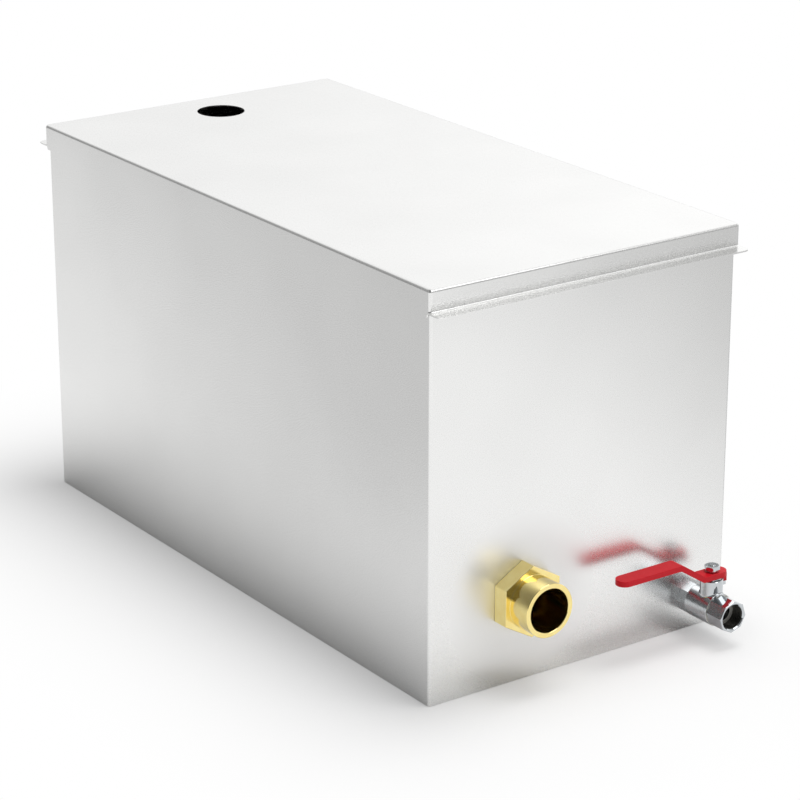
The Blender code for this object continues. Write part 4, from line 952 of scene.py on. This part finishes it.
def combined(base, *steps):
    """A mesh after joining other closed meshes to it and cutting others from it."""
    piece = bpy.data.objects.new("shape_in_work", base)
    bpy.context.collection.objects.link(piece)
    tools = []
    for operation, mesh in steps:
        tool = bpy.data.objects.new("tool", mesh)
        bpy.context.collection.objects.link(tool)
        tools.append(tool)
        step = piece.modifiers.new("step", "BOOLEAN")
        step.operation = operation
        step.solver = "EXACT"
        step.object = tool
    bpy.context.view_layer.update()
    mesh = bpy.data.meshes.new_from_object(piece.evaluated_get(bpy.context.evaluated_depsgraph_get()))
    for item in [piece, *tools]:
        bpy.data.objects.remove(item)
    return mesh


def stem_place(across, outward, up):
    """Points given round the stem's axis, with heights above the valve's centre line."""
    low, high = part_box("valve_end_cap")
    return ((low.x + high.x) / 2 + across, WALL_FACE - STEM_OUT + outward, (low.z + high.z) / 2 + up)


def boss_mesh():
    """The stem boss, which flares into the barrel in an even fillet."""
    found = rings([(BOSS, BOSS_FOOT)], stem_place)
    for step in range(FLARE_STEPS + 1):
        part = step / FLARE_STEPS
        radius = BOSS + BOSS_FLARE * (1 - part) ** 2
        ring = []
        for index in range(FINE_STEPS):
            angle = 2 * math.pi * index / FINE_STEPS
            across = radius * math.cos(angle)
            surface = math.sqrt(BARREL ** 2 - across ** 2) - BOSS_EDGE / 2
            ring.append(stem_place(across, radius * math.sin(angle), surface + BOSS_FLARE * part ** 2))
        found.append(ring)
    found += rings([(BOSS, BOSS_TOP - BOSS_EDGE), (BOSS - BOSS_EDGE, BOSS_TOP)], stem_place)
    return skin("boss", found)


def body_mesh():
    """The forged body: octagon inlet, round barrel and stem boss, bored for ball and stem."""
    place = axis_place("valve_end_cap")
    octagon = flats(VALVE_FLATS, 8, INLET_TURN)
    brink = EDGE_BREAK
    solid = skin("barrel", rings([
        (flats(VALVE_FLATS - 2 * BACK_EDGE, 8, INLET_TURN), INLET_BACK),
        (octagon, INLET_BACK + BACK_EDGE),
        (octagon, INLET_FRONT - INLET_EDGE / 2),
        (lambda angle: max(octagon(angle), BARREL - BARREL_EDGE), INLET_FRONT),
        (BARREL - BARREL_EDGE / 4, INLET_FRONT + BARREL_EDGE / 4),
        (BARREL, INLET_FRONT + BARREL_EDGE),
        (BARREL, BARREL_END - INLET_EDGE),
        (BARREL - INLET_EDGE, BARREL_END),
    ], place, INLET_TURN))
    waterway = skin("waterway", rings([
        (INLET_RECESS, 0.0),
        (INLET_RECESS, WASHER_SEAT),
        (SOCKET, WASHER_SEAT),
        (SOCKET, WASHER_SEAT + SOCKET_DEPTH),
        (PORT, WASHER_SEAT + SOCKET_DEPTH),
        (PORT, STEM_OUT - BALL_CHAMBER),
        (BALL_CHAMBER, STEM_OUT - BALL_CHAMBER),
        (BALL_CHAMBER, BARREL_END + brink),
    ], place))
    stem_way = skin("stem_way", rings([
        (COLLAR_WAY, BOSS / 2),
        (COLLAR_WAY, COLLAR_SHOULDER),
        (STEM_WAY, COLLAR_SHOULDER),
        (STEM_WAY, PACKING_FLOOR),
        (PACKING_WAY, PACKING_FLOOR),
        (PACKING_WAY, BOSS_TOP + brink),
    ], stem_place))
    return combined(
        solid,
        ("UNION", boss_mesh()),
        ("UNION", lug_mesh(CLOSED_STOP, 0.0)),
        ("UNION", lug_mesh(OPEN_STOP, math.pi / 2)),
        ("DIFFERENCE", waterway),
        ("DIFFERENCE", stem_way),
    )


def lug_mesh(offset, turn):
    """One stop lug, a short bar out of the boss, turned round the stem."""
    shape = bmesh.new()
    bmesh.ops.create_cube(shape, size=1.0)
    for corner in shape.verts:
        along = LUG_REACH if corner.co.x > 0 else BOSS / 2
        aside = offset + corner.co.y * LUG_WIDTH
        height = LUG_TOP if corner.co.z > 0 else LUG_FOOT
        corner.co = stem_place(
            along * math.cos(turn) - aside * math.sin(turn),
            along * math.sin(turn) + aside * math.cos(turn),
            height,
        )
    mesh = bpy.data.meshes.new("stop_lug")
    shape.to_mesh(mesh)
    shape.free()
    return mesh


def cap_mesh():
    """The octagonal end with its cone, spigot, port and socket."""
    place = axis_place("valve_end_cap")
    end = WALL_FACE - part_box("valve_end_cap")[0].y
    octagon = flats(VALVE_FLATS, 8, END_TURN)
    brink = EDGE_BREAK
    corner = octagon(END_TURN)
    spigot = WALL_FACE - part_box("valve_end_cap")[1].y
    rows = [
        (PORT, spigot),
        (BALL_CHAMBER - brink, spigot),
        (BALL_CHAMBER - brink, CAP_BACK),
        (VALVE_FLATS / 2 - brink, CAP_BACK),
        (lambda angle: min(octagon(angle), VALVE_FLATS / 2), CAP_BACK + brink),
        (lambda angle: min(octagon(angle), (VALVE_FLATS / 2 + corner) / 2), CAP_BACK + CAP_CONE / 2),
        (octagon, CAP_BACK + CAP_CONE),
        (octagon, end - brink),
        (flats(VALVE_FLATS - 2 * brink, 8, END_TURN), end),
        (SOCKET + SOCKET_EDGE, end),
        (SOCKET, end - SOCKET_EDGE),
        (SOCKET, end - SOCKET_DEPTH),
        (PORT, end - SOCKET_DEPTH),
    ]
    return skin("valve_end_cap_finished", rings(rows, place, END_TURN), hollow=True)


def bare_inside(piece, reach):
    """Give the socket and waterway, nearer to the valve's axis than this, bare metal darkened as painted
    shade on their walls, and a pale matt copy as painted light on shoulders facing out.
    """
    piece.data.materials.append(waterway_metal)
    piece.data.materials.append(turned_face)
    low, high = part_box("valve_end_cap")
    centre = Vector(((low.x + high.x) / 2, 0.0, (low.z + high.z) / 2))
    for face in piece.data.polygons:
        away = Vector((face.center.x, 0.0, face.center.z)) - centre
        if away.length < reach and abs(face.normal.y) < 0.5:
            face.material_index = 1
        elif away.length < reach and face.normal.y < -0.5:
            face.material_index = 2


chromium = chrome_finish("chromium_plate", "#C9CDD0", 0.06)
# Bare, unplated metal darkened to stand for the shade deep in the bore: partly real, partly painted
# shade.
waterway_metal = chrome_finish("unplated_waterway", "#4A4945", 0.35)
# Turned shoulders facing out of the bore get a pale matt copy that reads as lit: painted light.
turned_face = chrome_finish("turned_socket_shoulder", "#E9E7E1", 0.70)
fluoroplastic = seat_plastic("turned_fluoroplastic")
fit(dressed("valve_nipple", PIPE_EDGE), cast_brass, "valve_nipple")
nipple_place = axis_place("valve_nipple")
nipple_end = WALL_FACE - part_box("valve_nipple")[1].y
nipple_thread = grown("nipple_thread", THREAD, {
    "Radius": NIPPLE - THREAD_RIDGE / 2,
    "Pitch": THREAD_PITCH,
    "Turns": THREAD_TURNS,
    "Ridge": THREAD_RIDGE,
    "Material": cast_brass,
}, lambda across, up, out: nipple_place(across, up, nipple_end + THREAD_RIDGE + out))
add_extra(nipple_thread, "valve_nipple")
fit(dressed("valve_locknut", CAST_EDGE), cast_brass, "valve_locknut")
fit(dressed("valve_outer_washer", WASHER_EDGE), black_rubber, "valve_outer_washer")
fit(dressed("valve_inner_washer", WASHER_EDGE), black_rubber, "valve_inner_washer")
valve_body = finish_shape("valve_body_finished", body_mesh())
fit(valve_body, chromium, "valve_body")
bare_inside(valve_body, SOCKET + EDGE_BREAK)
valve_end_cap = finish_shape("valve_end_cap_finished", cap_mesh())
fit(valve_end_cap, chromium, "valve_end_cap")
bare_inside(valve_end_cap, SOCKET + EDGE_BREAK)
cap_place = axis_place("valve_end_cap")
cap_end = WALL_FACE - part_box("valve_end_cap")[0].y
cap_thread = grown("end_cap_thread", THREAD, {
    "Radius": SOCKET,
    "Pitch": THREAD_PITCH,
    "Turns": THREAD_TURNS,
    "Ridge": THREAD_RIDGE,
    "Material": waterway_metal,
}, lambda across, up, out: cap_place(across, up, cap_end - SOCKET_DEPTH + THREAD_PITCH / 2 + out))
add_extra(cap_thread, "valve_end_cap")
fit(dressed("gland_nut"), chromium, "gland_nut")
fit(dressed("inner_seat"), fluoroplastic, "inner_seat")
fit(dressed("outer_seat"), fluoroplastic, "outer_seat")
fit(dressed("stem_packing"), fluoroplastic, "stem_packing")
fit(dressed("valve_ball"), chromium, "valve_ball")
fit(dressed("valve_stem"), chromium, "valve_stem")


# Drain lever
# A cranked steel bar with a thick satin red plastic coat, held by a chromed nut.
LEVER_EDGE = 0.0004
LEVER_NUT_EDGE = 0.0001


def red_coat(name):
    """Dipped red vinyl: even satin red with a slight orange peel."""
    material, tree, shader, place = new_material(name)
    peel = add_node(tree, "ShaderNodeTexNoise", {"Scale": mm(1.2), "Detail": 2.0}, {"Vector": place})
    ramp = add_node(tree, "ShaderNodeValToRGB", links={0: peel.outputs[0]})
    ramp.color_ramp.elements[0].position = 0.3
    ramp.color_ramp.elements[0].color = linear("#D31423")
    ramp.color_ramp.elements[1].position = 0.75
    ramp.color_ramp.elements[1].color = linear("#D91A2A")
    tree.links.new(ramp.outputs[0], shader.inputs["Base Color"])
    bump = add_node(tree, "ShaderNodeBump", {"Strength": 0.08, "Distance": 0.0002}, {
        "Height": peel.outputs[0],
    })
    tree.links.new(bump.outputs[0], shader.inputs["Normal"])
    shader.inputs["Roughness"].default_value = 0.42
    shader.inputs["Specular IOR Level"].default_value = 0.2
    return material


red_vinyl = red_coat("dipped_red_vinyl")
fit(dressed("valve_lever", LEVER_EDGE), red_vinyl, "valve_lever")
fit(dressed("lever_nut", LEVER_NUT_EDGE), chromium, "lever_nut")


# Lid
# A cap folded from the same sheet, with long aprons on the sides and end skirts
# turned out into lifting lips. The inlet hole is punched near the rear end.
fit(dressed("lid"), satin_stainless, "lid")


low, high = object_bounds()
